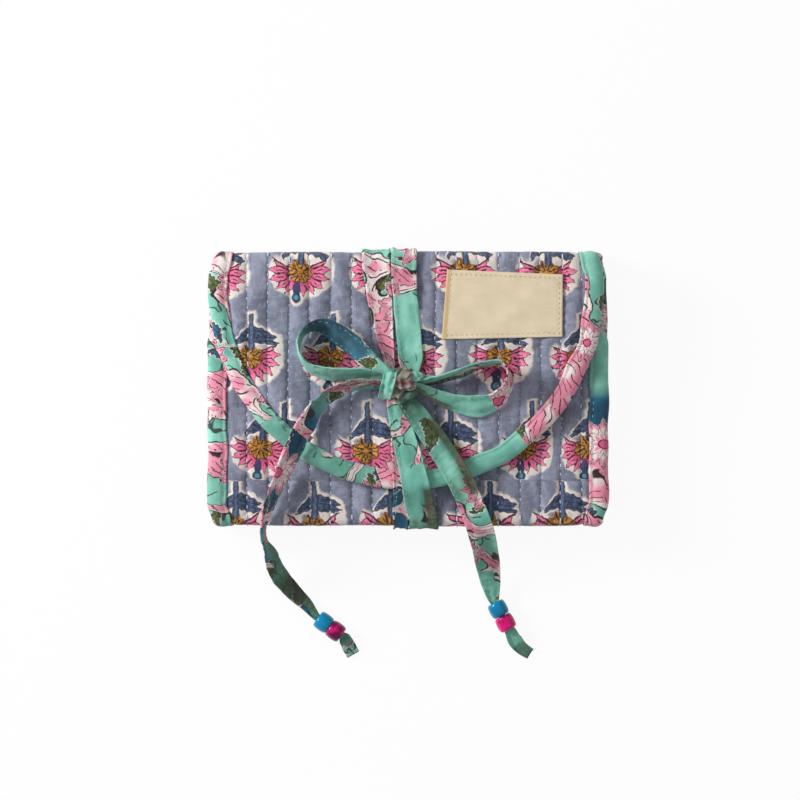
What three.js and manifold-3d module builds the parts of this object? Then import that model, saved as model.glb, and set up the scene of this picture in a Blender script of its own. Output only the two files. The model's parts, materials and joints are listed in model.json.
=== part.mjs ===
import * as THREE from 'three';
import { mergeVertices } from 'three/addons/utils/BufferGeometryUtils.js';
import Module from 'manifold-3d';

// A tri-fold quilted organizer, closed and tied: a back panel with two upright folds, a front panel that
// lifts from the bottom fold, and a curved flap that closes over it from the top fold.
// Millimetres. X runs across the pack, Y towards the top fold, Z up from the table.

const wasm = await Module();
wasm.setup();

// Closed pack
const packWidth = 200;
const packDepth = 137;
const touchGap = 0.3;

// Quilted cloth: channels run along Y, from stitch line to stitch line
const stitchPitch = 10.45;
const stitchOffset = 3.3;
const quiltCore = 2.8;
const quiltCrown = 1;
const crossStitchY = -9;
const crossStitchDepth = 0.7;
const foldNose = 3;
const foldNoseDrop = 2;
const foldRadius = 7;

// Bias binding, folded round every raw edge
const bindingWidth = 9.5;
const bindingThick = 4.4;
const bindingCloth = 0.8;
const liningThick = 0.4;

// Flap outline: straight sides, then half an ellipse
const flapHalfWidth = 98.5;
const flapShift = -1;
const flapSideEnd = 50;
const flapReach = 100;

// Front panel
const frontFreeEdge = 33;
const frontCorner = 11;
const flapOverFrontTip = 0.4;
const flapOverFrontEdge = 2.3;

// Zipped pockets
const pocketHalfWidth = 88;
const pocketFoldY = -56;
const backPocketTop = 36;
const backZipY = 24;
const frontPocketTop = 20;
const frontZipY = 8;
const pocketRoom = 5;
const gussetWall = 3;
const pocketCloth = 0.8;
const middleRoom = 5;

// Zips: two rows of moulded teeth, a slider on flanges and a hinged pull
const zipLength = 146;
const toothPitch = 3.2;
const toothNeck = 0.9;
const toothHead = 1.3;
const toothReach = 2.2;
const toothThick = 1.6;
const rowCore = 1.2;
const tapeThick = 0.6;
const tapeHalfWidth = 6.5;
const stopLength = 1.6;
const sliderLength = 11;
const sliderWidth = 9;
const sliderPlate = 1;
const sliderRestX = 66;
const archReach = 3.1;
const archWidth = 2;
const archHeight = 1.9;
const archBar = 1;
const archLeg = 1.2;
const pullLength = 20;
const pullWidth = 6.4;
const pullThick = 1;
const pullBar = 1.2;
const pullEyeWidth = 3.4;
const pullEyeLength = 4;
const pullRise = 0.9;

// Ring roll and its snap
const rollY = 48;
const rollRadius = 5.5;
const rollHalfLength = 75;
const tabLength = 13;
const tabWidth = 10;
const tabThick = 1;
const tabRise = 3.3;
const snapRadius = 4.6;
const studRadius = 2;
const studHeight = 1.6;
const snapPlate = 0.6;
const snapClearance = 0.4;
const capHeight = 1.3;

// Tie: one long strip, wrapped twice round the pack and tied in a bow
const tieThick = 0.8;
const flapStepStart = 1;
const flapStepEnd = 6;
const tieSplitZ = 8;
const tieTopSplit = 2.9;
const tieSplitGap = 0.8;
const tieLift = [0.4, 1.6];
const tieUnder = 0.1;
const strapSteps = 24;
const loopSteps = 28;
const tailSteps = 40;

// Left and right edges of its two turns, at the bottom fold and at the top fold
const tieBackLow = [[-7.4, 0.2], [0.6, 15.2]];
const tieBackHigh = [[-23, -8.8], [-8.4, 4.4]];

// Knot: where it stands, and the half sizes of its core, the turn pulled over it and its loose lump
const knotCentre = [-3, 2.5];
const knotFoot = 2;
const knotCore = [9.5, 5.6, 4.6];
const knotWrap = [3.9, 7.2, 6.2];
const knotLump = [7, 3.9, 4.2];

// Beads on the tie's ends
const beadRadius = 4.6;
const beadBore = 2.1;
const beadLength = 6.6;

// Woven label, left bare
const labelThick = 0.7;
const labelCorners = [[16.7, 24.6], [76.9, 25.9], [77.1, 57], [19.4, 59.4]];

// Levels that follow from the sizes above
const halfWidth = packWidth / 2;
const foldY = packDepth / 2;
const halfBinding = bindingThick / 2;
const bodyFace = halfBinding - liningThick - touchGap;
const stitchFace = quiltCore - bodyFace;
const crownFace = stitchFace + quiltCrown;
const tongueHalf = halfBinding - bindingCloth - touchGap;
const innerInset = bindingWidth + touchGap;
const tongueInset = bindingCloth + 2 * touchGap;
const liningTop = bindingThick;
const backWallZ = liningTop + 2 * touchGap + pocketRoom;
const frontWallZ = backWallZ + pocketCloth + middleRoom;
const frontLiningZ = frontWallZ + pocketCloth + 2 * touchGap + pocketRoom;
const frontMid = frontLiningZ + halfBinding;
const frontTop = frontMid + crownFace;
const flapTipY = flapSideEnd - flapReach;
const flapSlope = (flapOverFrontEdge - flapOverFrontTip) / (frontFreeEdge - flapTipY);
const flapRootUnder = frontTop + flapOverFrontEdge + flapSlope * (foldY - frontFreeEdge);
const hingeZ = flapRootUnder + halfBinding + crownFace;
const foldMid = foldY - crownFace;

const mintCloth = new THREE.MeshStandardMaterial({ color: 0x78c8ae, roughness: 0.92 });
const lilacCloth = new THREE.MeshStandardMaterial({ color: 0x8f92b0, roughness: 0.95 });
const liningCloth = new THREE.MeshStandardMaterial({ color: 0xd9a0ae, roughness: 0.95 });
const labelCloth = new THREE.MeshStandardMaterial({ color: 0xe4d0aa, roughness: 0.9 });
const zipTapeCloth = new THREE.MeshStandardMaterial({ color: 0xd86a94, roughness: 0.9 });
const zipPlastic = new THREE.MeshStandardMaterial({ color: 0xc9a24a, roughness: 0.45 });
const zipMetal = new THREE.MeshStandardMaterial({ color: 0xc2a15a, roughness: 0.3, metalness: 1 });
const blueBead = new THREE.MeshStandardMaterial({ color: 0x0087be, roughness: 0.12 });
const pinkBead = new THREE.MeshStandardMaterial({ color: 0xe10a78, roughness: 0.12 });

const organizer = new THREE.Group();

function add(parent, name, geometry, material) {
  const mesh = new THREE.Mesh(geometry, material);
  mesh.name = name;
  parent.add(mesh);
  return mesh;
}

// Solid helpers

function toSolid(geometry) {
  const bare = geometry.clone();
  bare.deleteAttribute('normal');
  bare.deleteAttribute('uv');
  const merged = mergeVertices(bare, 1e-4);
  return new wasm.Manifold(new wasm.Mesh({
    numProp: 3,
    vertProperties: new Float32Array(merged.attributes.position.array),
    triVerts: new Uint32Array(merged.index.array),
  }));
}

function toGeometry(solid) {
  const mesh = solid.getMesh();
  const geometry = new THREE.BufferGeometry();
  geometry.setAttribute('position', new THREE.BufferAttribute(new Float32Array(mesh.vertProperties), 3));
  geometry.setIndex(new THREE.BufferAttribute(new Uint32Array(mesh.triVerts), 1));
  geometry.computeVertexNormals();
  return geometry;
}

function joined(...geometries) {
  return toGeometry(geometries.map(toSolid).reduce((a, b) => a.add(b)));
}

function cutBy(geometry, ...tools) {
  return toGeometry(tools.map(toSolid).reduce((a, b) => a.subtract(b), toSolid(geometry)));
}

function shapeOf(points, hole) {
  const shape = new THREE.Shape(points.map(([x, y]) => new THREE.Vector2(x, y)));
  if (hole) shape.holes.push(new THREE.Path(hole.map(([x, y]) => new THREE.Vector2(x, y))));
  return shape;
}

// A flat shape in XY, thick from low to high
function plate(shape, low, high, curveSegments = 8) {
  const geometry = new THREE.ExtrudeGeometry(shape, { depth: high - low, bevelEnabled: false, curveSegments });
  return geometry.translate(0, 0, low);
}

function rectangle(x0, x1, y0, y1) {
  return [[x0, y0], [x1, y0], [x1, y1], [x0, y1]];
}

function block(x0, x1, y0, y1, z0, z1) {
  return plate(shapeOf(rectangle(x0, x1, y0, y1)), z0, z1);
}

function disc(radius, low, high, x, y, bore = 0) {
  const profile = [[bore, low], [radius, low], [radius, high], [bore, high], [bore, low]];
  const geometry = new THREE.LatheGeometry(profile.map(([r, z]) => new THREE.Vector2(r, z)), 20);
  return geometry.rotateX(Math.PI / 2).translate(x, y, 0);
}

// Carries a closed section along stations, each with a place and two directions
function sweep(stations, sectionAt) {
  const sections = stations.map((_, k) => {
    const points = sectionAt(k).map(([u, v]) => new THREE.Vector2(u, v));
    return THREE.ShapeUtils.area(points) < 0 ? points.reverse() : points;
  });
  const count = sections[0].length;
  const places = stations.flatMap(({ at, across, up }, k) => sections[k].flatMap(
    ({ x, y }) => at.clone().addScaledVector(across, x).addScaledVector(up, y).toArray()));
  const faces = [];
  for (let k = 0; k + 1 < stations.length; k++) {
    for (let i = 0; i < count; i++) {
      const a = k * count + i;
      const b = k * count + ((i + 1) % count);
      faces.push(a, b, b + count, a, b + count, a + count);
    }
  }
  const last = stations.length - 1;
  for (const [k, facing] of [[0, -1], [last, 1]]) {
    const cap = THREE.ShapeUtils.triangulateShape(sections[k], []);
    const areas = cap.map((corners) => THREE.ShapeUtils.area(corners.map((i) => sections[k][i])));
    const turn = facing * areas.reduce((sum, area) => sum + area);
    for (const [a, b, c] of cap) faces.push(...(turn > 0 ? [a, b, c] : [a, c, b]).map((i) => k * count + i));
  }
  const geometry = new THREE.BufferGeometry();
  geometry.setAttribute('position', new THREE.Float32BufferAttribute(places, 3));
  geometry.setIndex(faces);
  if (volumeOf(geometry) < 0) geometry.index.array.reverse();
  geometry.computeVertexNormals();
  return geometry;
}

function volumeOf(geometry) {
  const p = geometry.attributes.position;
  const index = geometry.index.array;
  const [a, b, c] = [new THREE.Vector3(), new THREE.Vector3(), new THREE.Vector3()];
  let total = 0;
  for (let i = 0; i < index.length; i += 3) {
    a.fromBufferAttribute(p, index[i]);
    b.fromBufferAttribute(p, index[i + 1]);
    c.fromBufferAttribute(p, index[i + 2]);
    total += a.dot(b.cross(c));
  }
  return total;
}

// Stations along a path in one plane; across points to the outside of its turns
function planeStations(points, normal) {
  return points.map((at, k) => {
    const ahead = points[Math.min(k + 1, points.length - 1)].clone();
    const along = ahead.sub(points[Math.max(k - 1, 0)]).normalize();
    return { at, across: along.cross(normal).normalize(), up: normal.clone() };
  });
}

function arc(cx, cy, rx, ry, from, to, steps) {
  return Array.from({ length: steps + 1 }, (_, i) => {
    const turn = from + ((to - from) * i) / steps;
    return [cx + rx * Math.cos(turn), cy + ry * Math.sin(turn)];
  });
}

// Quilted cloth

// How far the padding stands above the stitch lines at x, from 0 to 1
function quiltRise(x) {
  return Math.abs(Math.sin((Math.PI * (x - stitchOffset)) / stitchPitch));
}

function quiltColumns(left, right) {
  const step = stitchPitch / 4;
  const first = Math.ceil((left - stitchOffset) / step + 0.2);
  const last = Math.floor((right - stitchOffset) / step - 0.2);
  const inner = Array.from({ length: last - first + 1 }, (_, i) => stitchOffset + (first + i) * step);
  return [left, ...inner, right];
}

// Section of the quilt across X: flat inside, padded outside; rise flattens the padding and lift sets its base
function quiltSection(left, right, rise = 1, base = stitchFace, drop = 0) {
  const outer = quiltColumns(left, right).map((x) => [x, base + rise * quiltCrown * quiltRise(x) - drop]);
  return [[left, -bodyFace], [right, -bodyFace], ...outer.reverse()];
}

// A flat quilted panel from the fold at y0 to y1, its fold edge rounded off
function quiltPanel(left, right, y0, y1, towards) {
  const levels = [0, 0.3, 0.65, 1].map((t) => ({
    y: t * foldNose,
    drop: foldNoseDrop * (1 - Math.sqrt(1 - (1 - t) ** 2)),
  }));
  const rows = levels.map(({ y, drop }) => ({ y: y0 + towards * y, drop }));
  rows.push({ y: y1, drop: 0 });
  const stations = rows.map(({ y }) => ({
    at: new THREE.Vector3(0, y, 0),
    across: new THREE.Vector3(1, 0, 0),
    up: new THREE.Vector3(0, 0, 1),
  }));
  return sweep(stations, (k) => quiltSection(left, right, 1, stitchFace, rows[k].drop));
}

// Flap

// The flap's outline, taken in by inset, from its top left corner round to its top right one
function flapOutline(inset, top = foldY) {
  const rx = flapHalfWidth - inset;
  const ry = flapReach - inset;
  return [
    [flapShift - rx, top],
    ...arc(flapShift, flapSideEnd, rx, ry, Math.PI, 2 * Math.PI, 36),
    [flapShift + rx, top],
  ];
}

const uSection = [
  [-bindingWidth, halfBinding], [-bindingCloth, halfBinding], [0, halfBinding / 2], [0, -halfBinding / 2],
  [-bindingCloth, -halfBinding], [-bindingWidth, -halfBinding],
  [-bindingWidth, -halfBinding + bindingCloth], [-bindingCloth - touchGap, -halfBinding + bindingCloth],
  [-bindingCloth - touchGap, halfBinding - bindingCloth], [-bindingWidth, halfBinding - bindingCloth],
];

function bindingRound(outline) {
  const points = outline.map(([x, y]) => new THREE.Vector3(x, y, 0));
  return sweep(planeStations(points, new THREE.Vector3(0, 0, 1)), () => uSection);
}

// Built flat, with its middle plane at z = 0, then leaned so that it rests on the front panel
const flap = new THREE.Group();
flap.position.set(0, foldY, hingeZ - crownFace);
flap.rotation.x = Math.atan(flapSlope);
organizer.add(flap);

function onFlapPlane(geometry) {
  return geometry.translate(0, -foldY, 0);
}

function coverFlap() {
  const reach = flapHalfWidth - innerInset;
  const padded = quiltPanel(flapShift - reach, flapShift + reach, foldY, flapTipY, -1);
  const body = toSolid(padded).intersect(toSolid(
    plate(shapeOf(flapOutline(innerInset, foldY + 1)), -bindingThick, bindingThick)));
  const tongue = toSolid(plate(shapeOf(flapOutline(tongueInset, foldY - foldNose)), -tongueHalf, tongueHalf));
  return toGeometry(body.add(tongue));
}

add(flap, 'cover_flap', onFlapPlane(coverFlap()), lilacCloth);
add(flap, 'lining_flap', onFlapPlane(
  plate(shapeOf(flapOutline(innerInset)), -halfBinding, -halfBinding + liningThick)), liningCloth);
add(flap, 'binding_flap', onFlapPlane(bindingRound(flapOutline(0))), mintCloth);
add(flap, 'label', onFlapPlane(
  plate(shapeOf(labelCorners), crownFace + touchGap, crownFace + touchGap + labelThick)), labelCloth);

// Front panel

function frontOutline(inset, low = -foldY) {
  const x = halfWidth - inset;
  const y = frontFreeEdge - inset;
  const r = Math.max(frontCorner - inset, 0.5);
  return [
    [x, low],
    ...arc(x - r, y - r, r, r, 0, Math.PI / 2, 6),
    ...arc(-x + r, y - r, r, r, Math.PI / 2, Math.PI, 6),
    [-x, low],
  ];
}

const front = new THREE.Group();
front.position.z = frontMid;
organizer.add(front);

function coverFront() {
  const reach = halfWidth - innerInset;
  const padded = quiltPanel(-reach, reach, -foldY, frontFreeEdge - innerInset, 1);
  const within = plate(shapeOf(frontOutline(innerInset, -foldY - 1)), -bindingThick, bindingThick);
  const groove = new THREE.ExtrudeGeometry(
    shapeOf([[crossStitchY - 1.2, 1], [crossStitchY, -crossStitchDepth], [crossStitchY + 1.2, 1]]),
    { depth: 2 * reach + 2, bevelEnabled: false });
  groove.applyMatrix4(new THREE.Matrix4().makeBasis(
    new THREE.Vector3(0, 1, 0), new THREE.Vector3(0, 0, 1), new THREE.Vector3(1, 0, 0)));
  groove.translate(-reach - 1, 0, stitchFace + quiltCrown / 2);
  const tongue = toSolid(plate(shapeOf(frontOutline(tongueInset, -foldY + foldNose)), -tongueHalf, tongueHalf));
  return toGeometry(toSolid(padded).intersect(toSolid(within)).subtract(toSolid(groove)).add(tongue));
}

add(front, 'cover_front', coverFront(), lilacCloth);
add(front, 'lining_front', plate(shapeOf(frontOutline(innerInset)), -halfBinding, -halfBinding + liningThick),
  liningCloth);
add(front, 'binding_front', bindingRound(frontOutline(0)), mintCloth);

// Back panel with its two upright folds

const bottomFoldTop = frontLiningZ - touchGap;
const topFoldTop = flapRootUnder - touchGap;

// The middle line of the back's cloth, seen from the side: down the bottom fold, under, and up the top fold
function backPath() {
  const r = foldRadius - halfBinding;
  const low = halfBinding;
  const corner = (sign, from, to) => arc(sign * (foldMid - r), low + r, r, r, from, to, 5);
  return [
    [-foldMid, bottomFoldTop],
    ...corner(-1, Math.PI, 1.5 * Math.PI),
    ...corner(1, -0.5 * Math.PI, 0),
    [foldMid, topFoldTop],
  ];
}

function backStations(offsetX = 0) {
  const path = backPath();
  return path.map(([y, z], k) => {
    const [y0, z0] = path[Math.max(k - 1, 0)];
    const [y1, z1] = path[Math.min(k + 1, path.length - 1)];
    const out = new THREE.Vector3(0, z1 - z0, -(y1 - y0)).normalize();
    return { at: new THREE.Vector3(offsetX, y, z), across: new THREE.Vector3(1, 0, 0), up: out };
  });
}

function coverBack() {
  const reach = halfWidth - innerInset;
  const path = backPath();
  const upright = path.map(([, z]) => THREE.MathUtils.clamp((z - halfBinding) / (foldRadius - halfBinding), 0, 1));
  const padded = sweep(backStations(), (k) => quiltSection(-reach, reach, upright[k],
    THREE.MathUtils.lerp(halfBinding, stitchFace, upright[k])));
  const tongue = sweep(backStations(), () => rectangle(
    -halfWidth + tongueInset, halfWidth - tongueInset, -tongueHalf, tongueHalf));
  return cutBy(toGeometry(toSolid(padded).add(toSolid(tongue))), tieBack(0, touchGap), tieBack(1, touchGap));
}

function bindingBack(side) {
  const stations = backStations(side * halfWidth).map((s) => ({ ...s, across: new THREE.Vector3(side, 0, 0) }));
  return sweep(stations, () => uSection);
}

// Tie

// The tie on the back: from its split on the bottom fold's face, under the pack and up the top fold
function tieBack(turn, grow = 0) {
  const [l0, r0] = tieBackLow[turn];
  const [l1, r1] = tieBackHigh[turn];
  const half = tieThick / 2 + grow;
  const out = foldY + tieLift[turn] + tieThick / 2;
  const low = tieUnder + tieThick / 2;
  const centreY = foldMid - foldRadius + halfBinding;
  const corner = (sign, from, to) => arc(sign * centreY, foldRadius, out - centreY, foldRadius - low, from, to, 6);
  const side = [
    [-out, tieSplitZ - tieSplitGap + grow],
    ...corner(-1, Math.PI, 1.5 * Math.PI),
    ...corner(1, -0.5 * Math.PI, 0),
    [out, hingeZ - tieTopSplit - tieSplitGap + grow],
  ];
  const stations = side.map(([y, z], k) => {
    const [y0, z0] = side[Math.max(k - 1, 0)];
    const [y1, z1] = side[Math.min(k + 1, side.length - 1)];
    return {
      at: new THREE.Vector3(0, y, z),
      across: new THREE.Vector3(1, 0, 0),
      up: new THREE.Vector3(0, z1 - z0, y0 - y1).normalize(),
    };
  });
  return sweep(stations, (k) => {
    const t = THREE.MathUtils.clamp((side[k][0] + foldY) / packDepth, 0, 1);
    const [left, right] = [THREE.MathUtils.lerp(l0, l1, t), THREE.MathUtils.lerp(r0, r1, t)];
    return rectangle(left - grow, right + grow, -half, half);
  });
}

add(organizer, 'cover_back', coverBack(), lilacCloth);
add(organizer, 'lining_back', block(-halfWidth + innerInset, halfWidth - innerInset,
  -foldY + foldRadius + touchGap, foldY - foldRadius - touchGap, liningTop - liningThick, liningTop), liningCloth);
add(organizer, 'binding_back_left', bindingBack(-1), mintCloth);
add(organizer, 'binding_back_right', bindingBack(1), mintCloth);
add(organizer, 'tie_back_left', tieBack(0), mintCloth);
add(organizer, 'tie_back_right', tieBack(1), mintCloth);

// Height of the closed pack's outer face: the flap's crown, the front panel beyond its tip
function packTop(y) {
  const lean = hingeZ + flapSlope * (y - foldY);
  const past = THREE.MathUtils.smoothstep(flapTipY - y, flapStepStart, flapStepEnd);
  return THREE.MathUtils.lerp(lean, frontTop, past);
}

// A strip of the tie. Each row of a route is x, y, z, width and lean in degrees: 0 lies flat, 90 stands on edge.
function strip(route, steps) {
  const spine = new THREE.CatmullRomCurve3(
    route.map(([x, y, z]) => new THREE.Vector3(x, y, z)), false, 'centripetal');
  const side = new THREE.Vector3();
  const stations = [];
  const widths = [];
  for (let k = 0; k <= steps; k++) {
    const along = spine.getTangent(k / steps);
    const level = Math.hypot(along.x, along.y);
    if (level > 0.3) side.set(-along.y, along.x, 0);
    side.addScaledVector(along, -side.dot(along)).normalize();
    const above = new THREE.Vector3().crossVectors(along, side).normalize();
    const [width, lean] = widthAndLean(route, k / steps);
    const turn = THREE.MathUtils.degToRad(lean);
    const across = side.clone().multiplyScalar(Math.cos(turn)).addScaledVector(above, Math.sin(turn));
    const up = new THREE.Vector3().crossVectors(along, across).normalize();
    stations.push({ at: spine.getPoint(k / steps), across, up });
    widths.push(width);
  }
  return sweep(stations, (k) => stripSection(widths[k]));
}

function widthAndLean(route, t) {
  const span = Math.min(Math.floor(t * (route.length - 1)), route.length - 2);
  const share = t * (route.length - 1) - span;
  return [3, 4].map((i) => THREE.MathUtils.lerp(route[span][i], route[span + 1][i], share));
}

// A soft-edged flat section, eight points round
function stripSection(width) {
  const w = width / 2;
  const h = tieThick / 2;
  const edge = w - h;
  return [[w, 0], [edge, h], [0, h * 1.1], [-edge, h], [-w, 0], [-edge, -h], [0, -h * 1.1], [edge, -h]];
}

// The knot: a core with one turn of the tie pulled over its left half and a loose lump on its right
function knotGeometry(grow = 0) {
  const [x, y] = knotCentre;
  const foot = packTop(y) + touchGap;
  const lump = ([rx, ry, rz], dx, dy, dz) => {
    const ball = new THREE.SphereGeometry(1, 14, 8).rotateX(Math.PI / 2);
    return ball.scale(rx + grow, ry + grow, rz + grow).translate(x + dx, y + dy, foot + knotFoot + dz);
  };
  const core = joined(lump(knotCore, 0, 0, 1.5), lump(knotWrap, -8.3, 0, 2.2), lump(knotLump, 6.5, 3, 2.4));
  const table = block(x - 40, x + 40, y - 30, y + 30, foot - 20, foot - grow);
  return cutBy(core, table);
}

function trimmedByKnot(geometry) {
  return cutBy(geometry, knotGeometry(touchGap));
}

// Heights of a strip's middle above the pack's outer face: lying on it, and lying on another strip
const rest = touchGap + tieThick * 0.55;
const over = rest + tieThick * 1.1 + touchGap;
const on = (y, height) => packTop(y) + height;

// Over a fold's soft corner and down its face to the split, at that turn's distance from the fold
function overFold(sign, turn, splitZ, topZ, x, width) {
  const out = foldY + tieLift[turn] + tieThick / 2;
  const lift = turn ? over : rest;
  return [
    [x, sign * (foldY - 3.5), topZ + lift, width, 0],
    [x, sign * (foldY - 1.2), topZ + lift - 0.3, width, 0],
    [x, sign * (out - 0.2), topZ + lift - 1.6, width, 0],
    [x, sign * out, topZ + lift - 3.2, width, 0],
    [x, sign * out, splitZ, width, 0],
  ];
}

const topSplit = hingeZ - tieTopSplit;
const strapRoutes = {
  strap_upper_left: [
    ...overFold(1, 0, topSplit, hingeZ, -15.9, 14.2).reverse(),
    [-15, 54, on(54, rest), 13.6, 0], [-12.6, 34, on(34, rest), 10.5, 0], [-9.8, 16, on(16, rest), 6, 0],
    [-9, 10, on(10, rest + 1), 5, 0], [-8.6, 4, on(4, rest + 1.6), 4.4, 0],
  ],
  strap_upper_right: [
    ...overFold(1, 1, topSplit, hingeZ, -2, 12.8).reverse(),
    [-1.9, 54, on(54, over), 12.6, 0], [-0.3, 34, on(34, rest), 12.4, 0], [1.2, 16, on(16, rest), 12.2, 0],
    [1, 10, on(10, rest + 1), 10, 0], [0.4, 4, on(4, rest + 1.6), 8, 0],
  ],
  strap_lower_left: [
    [-5.5, 0, on(0, rest + 1), 8, 0], [-5, -6, on(-6, rest + 0.6), 9, 0], [-3.5, -20, on(-20, rest), 11, 0],
    [-1.6, -40, on(-40, rest), 12, 0], [-1.2, -49.5, on(-49.5, rest + 0.3), 12, 0],
    [-1.2, -53.5, on(-53.5, rest + 0.7), 12, 0], [-2.2, -58, on(-58, rest + 0.1), 11, 0],
    ...overFold(-1, 0, tieSplitZ, frontTop, -3.6, 7.6),
  ],
  strap_lower_right: [
    [-6, 0, on(0, over + 1), 8, 0], [-5.6, -6, on(-6, over + 0.6), 10, 0], [-3, -20, on(-20, over), 11.4, 0],
    [1.4, -37, on(-37, over), 13, 0], [4.2, -49.5, on(-49.5, over + 0.4), 14, 0],
    [5.2, -54, on(-54, over + 1.3), 14.3, 0], [6.2, -59, on(-59, over + 0.7), 14.5, 0],
    ...overFold(-1, 1, tieSplitZ, frontTop, 7.9, 14.6),
  ],
};

const loopRoutes = {
  bow_loop_left: [
    [-9, 6.5, on(6, 6), 6, 150], [-15, 11, on(11, 6.6), 8, 150], [-24, 18.5, on(18, 6.2), 12, 145],
    [-34, 26.5, on(26, 6), 12.8, 140], [-43, 31, on(31, 6.4), 12.6, 125], [-51.5, 28.5, on(28, 6.6), 12.2, 105],
    [-54.5, 20.5, on(20, 6.6), 12, 92], [-50.5, 12, on(12, 6.4), 12, 78], [-41, 8, on(8, 6.2), 12, 64],
    [-30, 7.4, on(7, 5.8), 11.4, 60], [-21, 7.6, on(7, 5.6), 9.6, 58], [-14, 6.4, on(6, 5.4), 7, 50],
    [-9, 5, on(5, 5.2), 5, 40],
  ],
  bow_loop_right: [
    [2, 3.4, on(3, 5), 5, 50], [9, 3.6, on(3, 5.6), 7, 60], [17, 5.4, on(5, 6), 10, 64],
    [28, 9, on(9, 6.3), 11.6, 68], [38, 12.4, on(12, 6.4), 12, 72], [45.5, 13.2, on(13, 6.6), 12, 80],
    [49.6, 9, on(9, 6.6), 12, 92], [49.6, 1.5, on(1, 6.2), 12, 112], [44, -5.6, on(-5, 5), 12.4, 138],
    [34, -8.8, on(-8, 4.4), 12.6, 152], [24, -7.2, on(-7, 5), 11, 150], [15, -4, on(-4, 6.4), 8, 145],
    [8, -0.6, on(0, 7), 6, 145], [2, 1.4, on(1, 7.4), 5, 150],
  ],
};

// Tails: out of the knot, over the pack's lower edge and down to the table, through two beads each
const beadZ = beadRadius + 0.1;
const tailRoutes = {
  tail_left: [
    [-8, 1.6, on(2, 4.6), 5, 130], [-15, 1.8, on(2, 5.2), 8, 122], [-24, 2, on(2, 6), 10.6, 120],
    [-34.5, -1.4, on(-1, 6.6), 11.6, 122], [-43.4, -7.6, on(-7, 6.6), 11.8, 130],
    [-50.2, -18, on(-18, 5.8), 12, 148], [-57, -31.3, on(-31, 5.6), 12, 146], [-62.7, -44.3, 34.4, 11.6, 126],
    [-68.2, -56.7, 33.6, 11.2, 118], [-71.8, -67.7, 31.6, 10.8, 112], [-72.8, -78.4, 23.5, 10.6, 118],
    [-70.2, -90, 11.5, 11, 128], [-61.5, -102, 5.6, 11, 140], [-51, -110.6, 4.2, 7.4, 160],
    [-45.5, -114.6, 4.7, 3.4, 180], [-42.3, -117, beadZ, 3.4, 180], [-36.3, -121.4, beadZ, 3.4, 180],
    [-33.2, -123.7, 4.6, 3.4, 180], [-31, -126.6, 2.8, 4.6, 180], [-29.6, -129.4, 1.7, 6, 180],
    [-27.4, -133.3, 1.1, 6.6, 180],
  ],
  tail_right: [
    [-5, -1, on(-1, 4.6), 6, 0], [-1, -6.4, on(-6, 4.2), 9, 0], [4, -12.6, on(-12, 3.8), 11, 0],
    [10.4, -21, on(-21, 3.2), 12, 0], [18.4, -32.8, on(-32, 2.4), 12.4, 0], [25.4, -44.5, on(-44, 2.2), 12.8, 0],
    [31.2, -57, 29.6, 13, 0], [35.2, -67.5, 28.9, 13, 0], [37.6, -76, 23.6, 13, 0], [39.6, -86, 14, 12.6, 0],
    [41.4, -97, 6, 9.6, 0], [42.8, -104.8, 4.9, 4, 0], [43.8, -107.6, beadZ, 3.4, 0],
    [45.3, -110.4, beadZ, 3.4, 0], [49, -117.2, beadZ, 3.4, 0], [51, -120.6, 4.2, 3.8, 0], [54.6, -125.4, 2, 5.4, 0], [61.2, -132.8, 1.1, 6.4, 0],
  ],
};

for (const [name, route] of Object.entries(strapRoutes)) {
  add(organizer, name, trimmedByKnot(strip(route, strapSteps)), mintCloth);
}
for (const [name, route] of Object.entries(loopRoutes)) {
  add(organizer, name, trimmedByKnot(strip(route, loopSteps)), mintCloth);
}
for (const [name, route] of Object.entries(tailRoutes)) {
  add(organizer, name, trimmedByKnot(strip(route, tailSteps)), mintCloth);
}
add(organizer, 'knot', knotGeometry(), mintCloth);

function bead(from, to) {
  const [r, b, l] = [beadRadius, beadBore, beadLength / 2];
  const round = [[b, -l], [r * 0.62, -l], [r * 0.9, -l * 0.66], [r, -l * 0.2], [r, l * 0.2], [r * 0.9, l * 0.66],
    [r * 0.62, l], [b, l], [b, -l]];
  const geometry = new THREE.LatheGeometry(round.map(([x, y]) => new THREE.Vector2(x, y)), 16);
  const along = new THREE.Vector3(to[0] - from[0], to[1] - from[1], 0).normalize();
  geometry.applyQuaternion(new THREE.Quaternion().setFromUnitVectors(new THREE.Vector3(0, 1, 0), along));
  return geometry.translate(from[0], from[1], beadZ);
}

const beadPlaces = {
  left: [[-42.3, -117], [-36.3, -121.4]],
  right: [[45.3, -110.4], [49, -117.2]],
};
for (const [side, [upper, lower]] of Object.entries(beadPlaces)) {
  const beyond = [2 * lower[0] - upper[0], 2 * lower[1] - upper[1]];
  add(organizer, `bead_${side}_upper`, bead(upper, lower), blueBead);
  add(organizer, `bead_${side}_lower`, bead(lower, beyond), pinkBead);
}

// Ring roll: a stuffed roll, sewn down at its left end and closed by a snap at its right

const rollGroup = new THREE.Group();
rollGroup.position.set(0, rollY, liningTop);
organizer.add(rollGroup);

function ringRoll() {
  const [r, l] = [rollRadius, rollHalfLength];
  const ends = [[0, 0], [0.55, 0.02], [0.88, 0.4], [1, 1.1]];
  const profile = [...ends.map(([k, e]) => [k * r, -l + e * r]), ...ends.reverse().map(([k, e]) => [k * r, l - e * r])];
  const roll = new THREE.LatheGeometry(profile.map(([x, y]) => new THREE.Vector2(x, y)), 16);
  roll.rotateZ(-Math.PI / 2).translate(0, 0, rollRadius + touchGap);
  const tab = (sign) => {
    const [x0, x1] = [sign * (l - rollRadius), sign * (l + tabLength)].sort((a, b) => a - b);
    return block(x0, x1, -tabWidth / 2, tabWidth / 2, tabRise, tabRise + tabThick);
  };
  return joined(roll, tab(-1), tab(1));
}

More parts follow.
